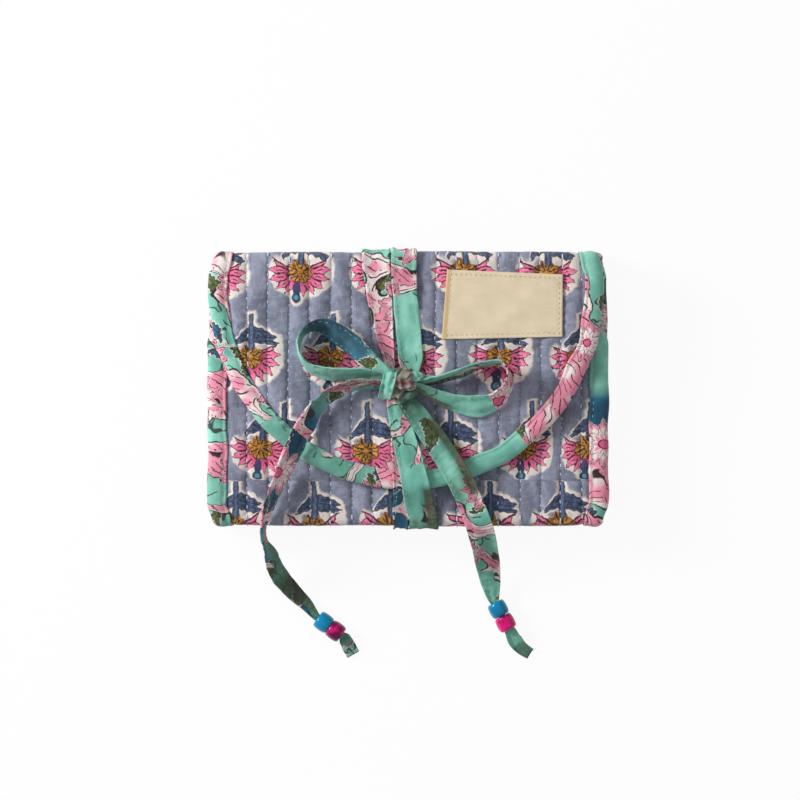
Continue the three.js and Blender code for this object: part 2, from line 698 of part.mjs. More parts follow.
const snapX = rollHalfLength + tabLength - snapRadius - snapClearance;
add(rollGroup, 'ring_roll', ringRoll(), lilacCloth);
add(rollGroup, 'ring_roll_anchor', block(-rollHalfLength - tabLength, -rollHalfLength - snapClearance,
  -tabWidth / 2, tabWidth / 2, touchGap, tabRise - touchGap), lilacCloth);
add(rollGroup, 'ring_snap_stud', joined(
  disc(snapRadius, touchGap, touchGap + snapPlate, snapX, 0),
  disc(studRadius, touchGap + snapPlate / 2, touchGap + snapPlate + studHeight, snapX, 0)), zipMetal);
add(rollGroup, 'ring_snap_socket', disc(snapRadius, 2 * touchGap + snapPlate, tabRise - touchGap, snapX, 0,
  studRadius + snapClearance), zipMetal);
add(rollGroup, 'ring_snap_cap', disc(snapRadius, tabRise + tabThick + touchGap,
  tabRise + tabThick + touchGap + capHeight, snapX, 0), zipMetal);

// Pockets and zips, built with the lining's face at z = 0 and the free face up

const coreEdge = (toothReach + touchGap) / 2;
const rowEdge = coreEdge + rowCore;

// One row of teeth on its core, below the zip's middle line, or above it when turned over
function zipRow(turned, shift) {
  const half = zipLength / 2;
  const tip = toothReach - coreEdge;
  const shoulder = tip - 0.7;
  const slim = (toothHead - toothNeck) / 2;
  const teeth = [];
  for (let x = -half + touchGap + shift; x + toothHead + touchGap < half; x += toothPitch) {
    teeth.push([x + slim, -coreEdge], [x, shoulder], [x + slim, tip], [x + toothHead - slim, tip],
      [x + toothHead, shoulder], [x + toothHead - slim, -coreEdge]);
  }
  const outline = [[-half, -rowEdge], [-half, -coreEdge], ...teeth, [half, -coreEdge], [half, -rowEdge]];
  const row = plate(shapeOf(outline), -toothThick / 2, toothThick / 2);
  return turned ? row.rotateZ(Math.PI) : row;
}

function sliderBody() {
  const [l, w] = [sliderLength / 2, sliderWidth / 2];
  const floor = toothThick / 2 + touchGap;
  const body = plate(shapeOf([[-l, -w * 0.72], [-l * 0.55, -w], [l * 0.6, -w], [l, -w * 0.8],
    [l, w * 0.8], [l * 0.6, w], [-l * 0.55, w], [-l, w * 0.72]]), floor, floor + sliderPlate);
  const flangeIn = rowEdge + touchGap;
  const flange = (sign) => {
    const [y0, y1] = [sign * flangeIn, sign * (w - 0.1)].sort((a, b) => a - b);
    return block(-l * 0.55, l * 0.6, y0, y1, tapeThick / 2 + touchGap, floor + 0.2);
  };
  const top = floor + sliderPlate;
  const leg = (x) => block(x - archLeg / 2, x + archLeg / 2, -archWidth / 2, archWidth / 2,
    top - 0.2, top + archHeight + 0.2);
  const bar = block(-archReach, archReach, -archWidth / 2, archWidth / 2, top + archHeight, top + archHeight + archBar);
  return joined(body, flange(1), flange(-1), leg(archReach - archLeg / 2), leg(archLeg / 2 - archReach), bar);
}

const pullAxisRise = toothThick / 2 + touchGap + sliderPlate + pullRise;

function pullTab() {
  const w = pullWidth / 2;
  const tip = pullBar / 2 - pullLength;
  const eye = rectangle(-pullBar / 2 - pullEyeLength, -pullBar / 2, -pullEyeWidth / 2, pullEyeWidth / 2);
  const outline = [[pullBar / 2, -w * 0.8], [pullBar / 2, w * 0.8], [-pullBar, w],
    ...arc(tip + w * 0.8, 0, w * 0.8, w * 0.8, Math.PI / 2, 1.5 * Math.PI, 8), [-pullBar, -w]];
  return plate(shapeOf(outline, eye), -pullThick / 2, pullThick / 2).translate(0, 0, pullAxisRise);
}

function addPocket(place, topY, zipY, name) {
  const half = pocketHalfWidth;
  const [low, high] = [pocketFoldY, topY];
  const ringLow = touchGap;
  const wallLow = 2 * touchGap + pocketRoom;
  const tapeMid = wallLow + pocketCloth / 2;
  const tapeEdge = tapeHalfWidth + touchGap;
  const ring = shapeOf(rectangle(-half, half, low, high),
    rectangle(-half + gussetWall, half - gussetWall, low + gussetWall, high - gussetWall));
  add(place, `${name}_pocket_gusset`, plate(ring, ringLow, ringLow + pocketRoom), liningCloth);
  add(place, `${name}_pocket_wall`, block(-half, half, low, zipY - tapeEdge, wallLow, wallLow + pocketCloth),
    lilacCloth);
  add(place, `${name}_pocket_strip`, block(-half, half, zipY + tapeEdge, high, wallLow, wallLow + pocketCloth),
    lilacCloth);
  const slotHalf = zipLength / 2 + 2 * touchGap + stopLength;
  const slotRise = rowEdge + touchGap;
  const tape = shapeOf(rectangle(-half, half, -tapeHalfWidth, tapeHalfWidth),
    rectangle(-slotHalf, slotHalf, -slotRise, slotRise));
  add(place, `${name}_zip_tape`, plate(tape, tapeMid - tapeThick / 2, tapeMid + tapeThick / 2)
    .translate(0, zipY, 0), zipTapeCloth);
  add(place, `${name}_zip_row_lower`, zipRow(false, 0).translate(0, zipY, tapeMid), zipPlastic);
  add(place, `${name}_zip_row_upper`, zipRow(true, toothPitch / 2).translate(0, zipY, tapeMid), zipPlastic);
  for (const [side, word] of [[-1, 'left'], [1, 'right']]) {
    const x = side * (zipLength / 2 + touchGap + stopLength / 2);
    add(place, `${name}_zip_stop_${word}`, block(x - stopLength / 2, x + stopLength / 2,
      zipY - rowEdge, zipY + rowEdge, tapeMid - toothThick / 2, tapeMid + toothThick / 2), zipMetal);
  }
  const slider = new THREE.Group();
  slider.position.set(sliderRestX, zipY, tapeMid);
  place.add(slider);
  add(slider, `${name}_zip_slider`, sliderBody(), zipMetal);
  add(slider, `${name}_zip_pull`, pullTab(), zipMetal);
}

const backPocket = new THREE.Group();
backPocket.position.z = liningTop;
organizer.add(backPocket);
addPocket(backPocket, backPocketTop, backZipY, 'back');

const frontPocket = new THREE.Group();
frontPocket.position.z = frontLiningZ;
frontPocket.rotation.y = Math.PI;
organizer.add(frontPocket);
addPocket(frontPocket, frontPocketTop, frontZipY, 'front');

export default organizer;
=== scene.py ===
import json
import math

import bmesh
import bpy
import numpy as np
from mathutils import Vector
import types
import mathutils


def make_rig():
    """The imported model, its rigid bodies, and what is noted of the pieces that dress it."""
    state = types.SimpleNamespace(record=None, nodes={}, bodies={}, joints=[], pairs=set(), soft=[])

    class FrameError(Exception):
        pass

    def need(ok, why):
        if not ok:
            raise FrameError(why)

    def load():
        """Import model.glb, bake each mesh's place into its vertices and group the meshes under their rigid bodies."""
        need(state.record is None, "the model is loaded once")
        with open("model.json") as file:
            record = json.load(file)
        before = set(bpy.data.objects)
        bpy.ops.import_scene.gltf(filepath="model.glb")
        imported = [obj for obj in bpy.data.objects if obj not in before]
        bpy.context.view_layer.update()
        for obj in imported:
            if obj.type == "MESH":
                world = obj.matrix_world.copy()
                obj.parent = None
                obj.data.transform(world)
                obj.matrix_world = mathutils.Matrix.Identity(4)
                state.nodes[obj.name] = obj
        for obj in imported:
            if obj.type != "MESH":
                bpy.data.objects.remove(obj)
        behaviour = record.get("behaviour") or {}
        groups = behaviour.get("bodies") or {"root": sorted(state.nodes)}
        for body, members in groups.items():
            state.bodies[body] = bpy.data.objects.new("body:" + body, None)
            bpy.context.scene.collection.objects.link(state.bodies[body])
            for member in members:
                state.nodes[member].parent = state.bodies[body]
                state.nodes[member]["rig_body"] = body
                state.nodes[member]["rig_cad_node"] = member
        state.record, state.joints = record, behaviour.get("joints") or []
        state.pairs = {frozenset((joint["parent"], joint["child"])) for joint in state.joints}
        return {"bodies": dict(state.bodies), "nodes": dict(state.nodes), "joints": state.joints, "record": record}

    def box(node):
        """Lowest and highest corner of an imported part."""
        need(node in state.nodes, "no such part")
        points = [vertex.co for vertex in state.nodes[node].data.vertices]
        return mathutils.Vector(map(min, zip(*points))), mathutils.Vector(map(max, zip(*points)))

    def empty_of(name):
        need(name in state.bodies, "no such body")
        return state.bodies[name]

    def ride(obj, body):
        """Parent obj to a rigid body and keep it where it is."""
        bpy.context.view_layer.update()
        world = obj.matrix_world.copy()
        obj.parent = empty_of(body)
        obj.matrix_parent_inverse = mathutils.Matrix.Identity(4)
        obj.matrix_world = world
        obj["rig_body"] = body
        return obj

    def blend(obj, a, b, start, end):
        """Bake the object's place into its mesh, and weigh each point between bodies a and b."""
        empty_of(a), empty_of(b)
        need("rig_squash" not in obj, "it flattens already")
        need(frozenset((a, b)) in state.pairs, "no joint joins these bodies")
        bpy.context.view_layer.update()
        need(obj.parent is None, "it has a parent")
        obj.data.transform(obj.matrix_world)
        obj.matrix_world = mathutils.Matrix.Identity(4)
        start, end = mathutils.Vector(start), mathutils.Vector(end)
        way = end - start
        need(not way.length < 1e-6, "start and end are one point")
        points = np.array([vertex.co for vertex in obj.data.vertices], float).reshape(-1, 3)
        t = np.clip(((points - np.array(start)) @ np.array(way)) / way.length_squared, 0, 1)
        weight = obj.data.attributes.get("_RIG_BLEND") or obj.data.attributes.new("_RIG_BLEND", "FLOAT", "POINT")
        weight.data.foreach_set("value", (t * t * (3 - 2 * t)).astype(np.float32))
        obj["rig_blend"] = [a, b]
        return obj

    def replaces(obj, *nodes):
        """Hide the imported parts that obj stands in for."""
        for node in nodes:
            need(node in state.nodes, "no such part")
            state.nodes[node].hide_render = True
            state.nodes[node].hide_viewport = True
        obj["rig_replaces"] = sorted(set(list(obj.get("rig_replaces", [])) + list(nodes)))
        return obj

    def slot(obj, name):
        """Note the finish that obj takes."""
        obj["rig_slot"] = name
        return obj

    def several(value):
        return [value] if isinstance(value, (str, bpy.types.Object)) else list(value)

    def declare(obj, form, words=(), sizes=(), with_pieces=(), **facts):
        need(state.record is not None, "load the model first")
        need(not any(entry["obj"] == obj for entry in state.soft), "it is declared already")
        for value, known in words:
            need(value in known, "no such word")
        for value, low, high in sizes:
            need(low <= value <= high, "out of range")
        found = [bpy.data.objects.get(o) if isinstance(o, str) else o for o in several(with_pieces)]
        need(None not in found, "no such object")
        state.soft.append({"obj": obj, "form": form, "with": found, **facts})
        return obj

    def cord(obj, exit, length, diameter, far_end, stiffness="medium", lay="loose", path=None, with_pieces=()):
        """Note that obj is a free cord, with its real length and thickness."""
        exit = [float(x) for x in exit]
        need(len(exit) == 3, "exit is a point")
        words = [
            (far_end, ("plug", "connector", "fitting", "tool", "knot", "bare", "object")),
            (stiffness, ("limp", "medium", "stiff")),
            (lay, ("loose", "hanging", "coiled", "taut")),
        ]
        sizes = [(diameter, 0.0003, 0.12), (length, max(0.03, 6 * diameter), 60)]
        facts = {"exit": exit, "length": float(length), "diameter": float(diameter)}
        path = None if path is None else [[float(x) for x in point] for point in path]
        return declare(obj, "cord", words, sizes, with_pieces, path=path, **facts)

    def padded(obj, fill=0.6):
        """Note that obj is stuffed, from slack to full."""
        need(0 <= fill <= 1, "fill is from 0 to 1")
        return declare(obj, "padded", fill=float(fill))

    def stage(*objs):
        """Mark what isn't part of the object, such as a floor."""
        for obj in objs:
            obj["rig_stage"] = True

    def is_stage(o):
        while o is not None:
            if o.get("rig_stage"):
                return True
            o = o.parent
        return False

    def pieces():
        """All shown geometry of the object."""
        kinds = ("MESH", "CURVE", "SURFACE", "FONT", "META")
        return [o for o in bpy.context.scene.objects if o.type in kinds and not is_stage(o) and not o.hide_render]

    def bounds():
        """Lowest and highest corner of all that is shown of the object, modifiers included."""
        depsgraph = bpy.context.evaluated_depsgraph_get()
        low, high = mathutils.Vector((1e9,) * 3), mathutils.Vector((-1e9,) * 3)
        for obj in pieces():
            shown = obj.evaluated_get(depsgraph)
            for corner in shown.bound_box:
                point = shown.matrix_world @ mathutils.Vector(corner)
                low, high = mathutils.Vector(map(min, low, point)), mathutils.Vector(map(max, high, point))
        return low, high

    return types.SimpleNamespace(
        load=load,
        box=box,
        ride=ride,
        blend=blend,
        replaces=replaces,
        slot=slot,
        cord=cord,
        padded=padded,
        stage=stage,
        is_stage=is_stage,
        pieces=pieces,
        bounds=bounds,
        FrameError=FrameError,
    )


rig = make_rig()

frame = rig.load()
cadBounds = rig.bounds()
metres = 0.001  # lengths below are millimetres, and turn into metres where a mesh is made

jointAt = {j["name"]: np.array(j.get("pos_m", (0, 0, 0))) / metres for j in frame["joints"]}


def boxOf(node):
    low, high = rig.box(node)
    return np.array(low) / metres, np.array(high) / metres


# The levels that everything is built on, from the frame
foldY, hingeZ = jointAt["flap_fold"][1:]
frontTop = jointAt["front_fold"][2]
halfWidth = boxOf("binding_front")[1][0]
flapSlope = 0.0229  # how the closed flap falls towards its curved edge
tableTop = 0.02  # nothing reaches under the table
print("frame loaded:", len(frame["nodes"]), "nodes")

# The camera looks straight down, at the photograph's scale
view = {
    "target": (-4.0, -5.5, 34.0), "distance": 3600.0, "farthest": 20000.0,
    "pixelsPerMm": 2.01, "imagePixels": 800, "sensor": 36.0,
}


def addCamera():
    camera = bpy.data.objects.new("camera", bpy.data.cameras.new("camera"))
    bpy.context.scene.collection.objects.link(camera)
    x, y, z = view["target"]
    camera.location = Vector((x, y, z + view["distance"])) * metres
    camera.data.sensor_width = view["sensor"]
    camera.data.lens = view["sensor"] * view["distance"] / (view["imagePixels"] / view["pixelsPerMm"])
    camera.data.clip_end = view["farthest"] * metres
    bpy.context.scene.camera = camera


addCamera()


# Number helpers

def smoothStep(value, low, high):
    t = np.clip((value - low) / (high - low), 0, 1)
    return t * t * (3 - 2 * t)


def mixed(a, b, share):
    return a + (b - a) * share


# A smooth random field of about -1 to 1, whose waves are about size long
def ripple(x, y, size, seed):
    rng = np.random.default_rng(seed)
    total = 0
    for _ in range(6):
        angle, phase = rng.uniform(0, 2 * math.pi, 2)
        wave = size * rng.uniform(0.6, 1.6)
        total = total + np.sin((x * math.cos(angle) + y * math.sin(angle)) * 2 * math.pi / wave + phase)
    return total / 3


def power(wave, size):  # makes a round section squarer, the smaller size is
    return np.sign(wave) * np.abs(wave) ** size


def unit(vectors):
    return vectors / np.maximum(np.linalg.norm(vectors, axis=-1, keepdims=True), 1e-9)


def runLength(points):  # how far each point lies along the line through them
    return np.concatenate([[0], np.cumsum(np.linalg.norm(np.diff(points, axis=0), axis=1))])


def spaced(stations, length, values):
    return np.stack([np.interp(stations, length, column) for column in values.T], 1)


# Mesh helpers

def gridFaces(rows, columns, wrap=False):
    i, j = np.meshgrid(np.arange(rows - 1), np.arange(columns if wrap else columns - 1), indexing="ij")
    k = (j + 1) % columns
    faces = np.stack([i * columns + j, i * columns + k, (i + 1) * columns + k, (i + 1) * columns + j], -1)
    wide = columns + 1 if wrap else columns
    corners = np.stack([i * wide + j, i * wide + j + 1, (i + 1) * wide + j + 1, (i + 1) * wide + j], -1)
    return faces.reshape(-1, 4), corners.reshape(-1, 4)


def newPiece(name, points, faces, uvs, materials, slots=None):
    mesh = bpy.data.meshes.new(name)
    points = np.array(points, float)
    points[:, 2] = np.maximum(points[:, 2], tableTop)
    mesh.from_pydata((points * metres).tolist(), [], [list(map(int, f)) for f in faces])
    layer = mesh.uv_layers.new(name="cloth")
    layer.data.foreach_set("uv", np.concatenate([np.asarray(uv, float).ravel() for uv in uvs]))
    mesh.polygons.foreach_set("use_smooth", [True] * len(mesh.polygons))
    for material in materials:
        mesh.materials.append(material)
    if slots is not None:
        mesh.polygons.foreach_set("material_index", slots)
    shape = bmesh.new()
    shape.from_mesh(mesh)
    bmesh.ops.recalc_face_normals(shape, faces=shape.faces)
    shape.to_mesh(mesh)
    shape.free()
    piece = bpy.data.objects.new(name, mesh)
    bpy.context.scene.collection.objects.link(piece)
    return piece


# A closed sheet between two grids of points, whose lower face can have a cloth of its own
def slabPiece(name, top, bottom, uv, materials):
    rows, columns = top.shape[:2]
    count = rows * columns
    faces, corners = gridFaces(rows, columns)
    index = np.arange(count).reshape(rows, columns)
    loop = np.concatenate([index[0, :-1], index[:-1, -1], index[-1, :0:-1], index[:0:-1, 0]])
    after = np.roll(loop, -1)
    rim = np.stack([loop, loop + count, after + count, after], -1)
    rimCorners = np.stack([loop, loop, after, after], -1)
    flat = uv.reshape(-1, 2)
    allFaces = np.concatenate([faces, faces[:, ::-1] + count, rim])
    allUvs = flat[np.concatenate([corners, corners[:, ::-1], rimCorners])]
    slots = np.zeros(len(allFaces), int)
    if len(materials) > 1:
        slots[len(faces):2 * len(faces)] = 1
    points = np.concatenate([top.reshape(-1, 3), bottom.reshape(-1, 3)])
    return newPiece(name, points, allFaces, allUvs, materials, slots)


# A closed tube through loops of points, with its ends closed flat
def tubePiece(name, loops, uv, materials, closed=False):
    rows, columns = loops.shape[:2]
    faces, corners = gridFaces(rows, columns, wrap=True)
    faces, uvs = list(faces), list(uv.reshape(-1, 2)[corners])
    if closed:
        last = (rows - 1) * columns
        for j in range(columns):
            k = (j + 1) % columns
            faces.append([last + j, last + k, k, j])
            uvs.append(uv.reshape(-1, 2)[[(rows - 1) * (columns + 1) + j] * 4])
    else:
        for row in (0, rows - 1):
            faces.append(list(range(row * columns, (row + 1) * columns)))
            uvs.append(uv[row, :columns])
    return newPiece(name, loops.reshape(-1, 3), faces, uvs, materials)


# Stores three numbers at each of a piece's points, for its material to read
def markPoints(piece, name, values):
    attribute = piece.data.attributes.new(name, "FLOAT_VECTOR", "POINT")
    attribute.data.foreach_set("vector", np.asarray(values, float).ravel())


# Says what carries a piece, which CAD node it stands in for, and which finish it has
def fitPiece(piece, body, node, slot):
    if isinstance(body, tuple):
        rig.blend(piece, *body)
    else:
        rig.ride(piece, body)
    if node:
        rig.replaces(piece, node)
    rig.slot(piece, slot)
    return piece


# Colours and shader maths

def dye(red, green, blue):
    def linear(value):
        c = value / 255
        return c / 12.92 if c <= 0.04045 else ((c + 0.055) / 1.055) ** 2.4
    return (linear(red), linear(green), linear(blue), 1.0)


# One socket of a shader, so that masks are written as sums
class Wire:
    def __init__(self, paint, socket):
        self.paint, self.socket = paint, socket

    def math(self, operation, *others):
        return self.paint.node("ShaderNodeMath", {"operation": operation}, dict(enumerate((self, *others))))

    def __add__(self, other):
        return self.math("ADD", other)

    __radd__ = __add__

    def __sub__(self, other):
        return self.math("SUBTRACT", other)

    def __rsub__(self, other):
        return self.paint.node("ShaderNodeMath", {"operation": "SUBTRACT"}, {0: other, 1: self})

    def __mul__(self, other):
        return self.math("MULTIPLY", other)

    __rmul__ = __mul__

    def __truediv__(self, other):
        return self.math("DIVIDE", other)

    def __pow__(self, other):
        return self.math("POWER", other)

    def __neg__(self):
        return self * -1

    def __abs__(self):
        return self.math("ABSOLUTE")

    def __round__(self):
        return self.math("ROUND")

    def least(self, other):
        return self.math("MINIMUM", other)

    def most(self, other):
        return self.math("MAXIMUM", other)

    def rise(self, low, high):  # 0 up to low, 1 from high on
        return self.paint.node("ShaderNodeMapRange", {"interpolation_type": "SMOOTHSTEP"},
                               {"Value": self, "From Min": low, "From Max": high})

    def inside(self, soft=0.2):  # 1 where a distance is below zero
        return 1 - self.rise(-soft, soft)

    def line(self, width):  # 1 along a distance of zero
        return 1 - abs(self).rise(width * 0.4, width)


# One material: its shader, its nodes, and the cloth's own coordinates in millimetres
class Paint:
    def __init__(self, name, **constants):
        self.material = bpy.data.materials.new(name)
        self.material.use_nodes = True
        self.tree = self.material.node_tree
        self.shader = self.tree.nodes["Principled BSDF"]
        for socket, value in constants.items():
            self.shader.inputs[socket.replace("_", " ")].default_value = value

    def node(self, kind, settings=None, sockets=None, out=0):
        node = self.tree.nodes.new(kind)
        for key, value in (settings or {}).items():
            setattr(node, key, value)
        for key, value in (sockets or {}).items():
            if isinstance(value, Wire):
                self.tree.links.new(value.socket, node.inputs[key])
            else:
                node.inputs[key].default_value = value
        return Wire(self, node.outputs[out])

    def cloth(self):
        place = self.node("ShaderNodeUVMap", {"uv_map": "cloth"})
        parts = self.node("ShaderNodeSeparateXYZ", None, {0: place})
        return parts, Wire(self, parts.socket.node.outputs[1])

    def solidPlace(self):  # for pieces without cloth coordinates
        return self.node("ShaderNodeTexCoord", out=3)

    def vector(self, x, y, z=0.0):
        return self.node("ShaderNodeCombineXYZ", None, {0: x, 1: y, 2: z})

    def noise(self, place, scale, detail=2.0, rough=0.5):
        return self.node("ShaderNodeTexNoise", None,
                         {"Vector": place, "Scale": scale, "Detail": detail, "Roughness": rough})

    def parts(self, colour):
        node = self.node("ShaderNodeSeparateColor", None, {0: colour}).socket.node
        return [Wire(self, node.outputs[i]) for i in range(3)]

    def mix(self, share, a, b, blend="MIX"):
        settings = {"data_type": "RGBA", "blend_type": blend}
        return self.node("ShaderNodeMix", settings, {0: share, 6: a, 7: b}, out=2)

    def marked(self, name):  # the three numbers that markPoints stores on a piece
        stored = self.node("ShaderNodeAttribute", {"attribute_name": name}, out=1)
        split = self.node("ShaderNodeSeparateXYZ", None, {0: stored}).socket.node
        return [Wire(self, split.outputs[i]) for i in range(3)]

    def finish(self, colour, roughness=None, height=None, distance=0.1, strength=1.0):
        links = self.tree.links
        if isinstance(colour, Wire):
            links.new(colour.socket, self.shader.inputs["Base Color"])
        else:
            self.shader.inputs["Base Color"].default_value = colour
        if roughness is not None:
            links.new(roughness.socket, self.shader.inputs["Roughness"])
        if height is not None:
            bump = self.node("ShaderNodeBump", None,
                             {"Height": height, "Distance": distance * metres, "Strength": strength})
            links.new(bump.socket, self.shader.inputs["Normal"])
        return self.material


# Plain weave: threads over and under each other, pitch apart, with a little slub
def weave(p, u, v, pitch):
    across = (u * (2 * math.pi / pitch)).math("SINE")
    along = (v * (2 * math.pi / pitch)).math("SINE")
    return across * along * 0.5 + p.noise(p.vector(u * 0.5, v * 3), 0.5)


# Moves a print a little from place to place, as hand stamping does
def wobbled(p, u, v, size, amount):
    sockets = {"Vector": p.vector(u, v), "Scale": 1 / size, "Detail": 2.0}
    red, green, _ = p.parts(p.node("ShaderNodeTexNoise", None, sockets, out=1))
    return u + (red - 0.5) * (amount * 4), v + (green - 0.5) * (amount * 4)


# The nearest stamp of a staggered grid: the place inside it, and three random numbers of its own
def stampAt(p, u, v, pitch, rowPitch, shift, jitter, middle=0.0):
    row = round((v - middle) / rowPitch)
    column = round((u + row * shift) / pitch)
    settings, sockets = {"noise_dimensions": "2D"}, {"Vector": p.vector(column, row)}
    red, green, blue = p.parts(p.node("ShaderNodeTexWhiteNoise", settings, sockets, out=1))
    x = u + row * shift - column * pitch + (red - 0.5) * jitter
    y = v - row * rowPitch + (green - 0.5) * jitter
    return x, y, (red, green, blue)


def reach(x, y):
    return (x * x + y * y) ** 0.5


def tooth(value):  # 0 at whole numbers, 1 half way between them
    return abs(value - round(value)) * 2


# Hand quilting: soft channels between rows of running stitches
quilting = {
    "pitch": 10.45, "offset": 3.3, "wander": 0.5, "seam": 0.8, "crown": 2.5, "dome": 0.45, "pucker": 0.27,
    "wrinkle": 0.2, "onFold": 2.1, "foldRelief": 0.25, "tucked": 0.95, "padding": 1.4, "hem": 0.95,
    "crossLine": -9.0, "crossDepth": 0.9, "stitch": 4.6, "stagger": 0.37, "thread": (3.0, 0.3),
    "sewnFrom": (8.4, 11), "fullFrom": (8.4, 13), "tight": (59, 66), "stitchLift": 0.3,
}


# The lavender block print: one sprig, stamped row by row
sprig = {
    "pitch": 41.2, "rowPitch": 45.3, "shift": 16.9, "jitter": 2.0, "wobble": 0.6, "tremble": 0.3,
    "petalTurn": 0.37, "fanTurn": 2.03, "fanReach": 13.4, "fanSide": 2.6, "notch": 3.9, "heart": 6.3,
    "halo": 1.5, "stemX": 0.9, "stemHalf": 1.5, "stemTop": 23.6, "wingTop": 16.6, "wingReach": 10.0,
    "leftReach": 8.0, "ground": dye(154, 158, 180), "groundDeep": dye(112, 116, 136),
    "groundPale": dye(178, 182, 198), "cream": dye(234, 222, 214), "pink": dye(240, 102, 150),
    "pinkPale": dye(246, 146, 180), "pinkDeep": dye(206, 48, 108), "mustard": dye(208, 148, 40),
    "mustardDeep": dye(146, 88, 24), "navy": dye(78, 98, 132), "navyDeep": dye(43, 56, 84),
    "navyPale": dye(104, 128, 162), "ink": dye(36, 20, 32), "drop": dye(66, 60, 104),
    "ring": dye(78, 140, 168),
}


def blended(a, b, soft):  # the nearer of two outlines, flowing into each other
    return a.paint.node("ShaderNodeMath", {"operation": "SMOOTH_MIN"}, {0: a, 1: b, 2: soft})


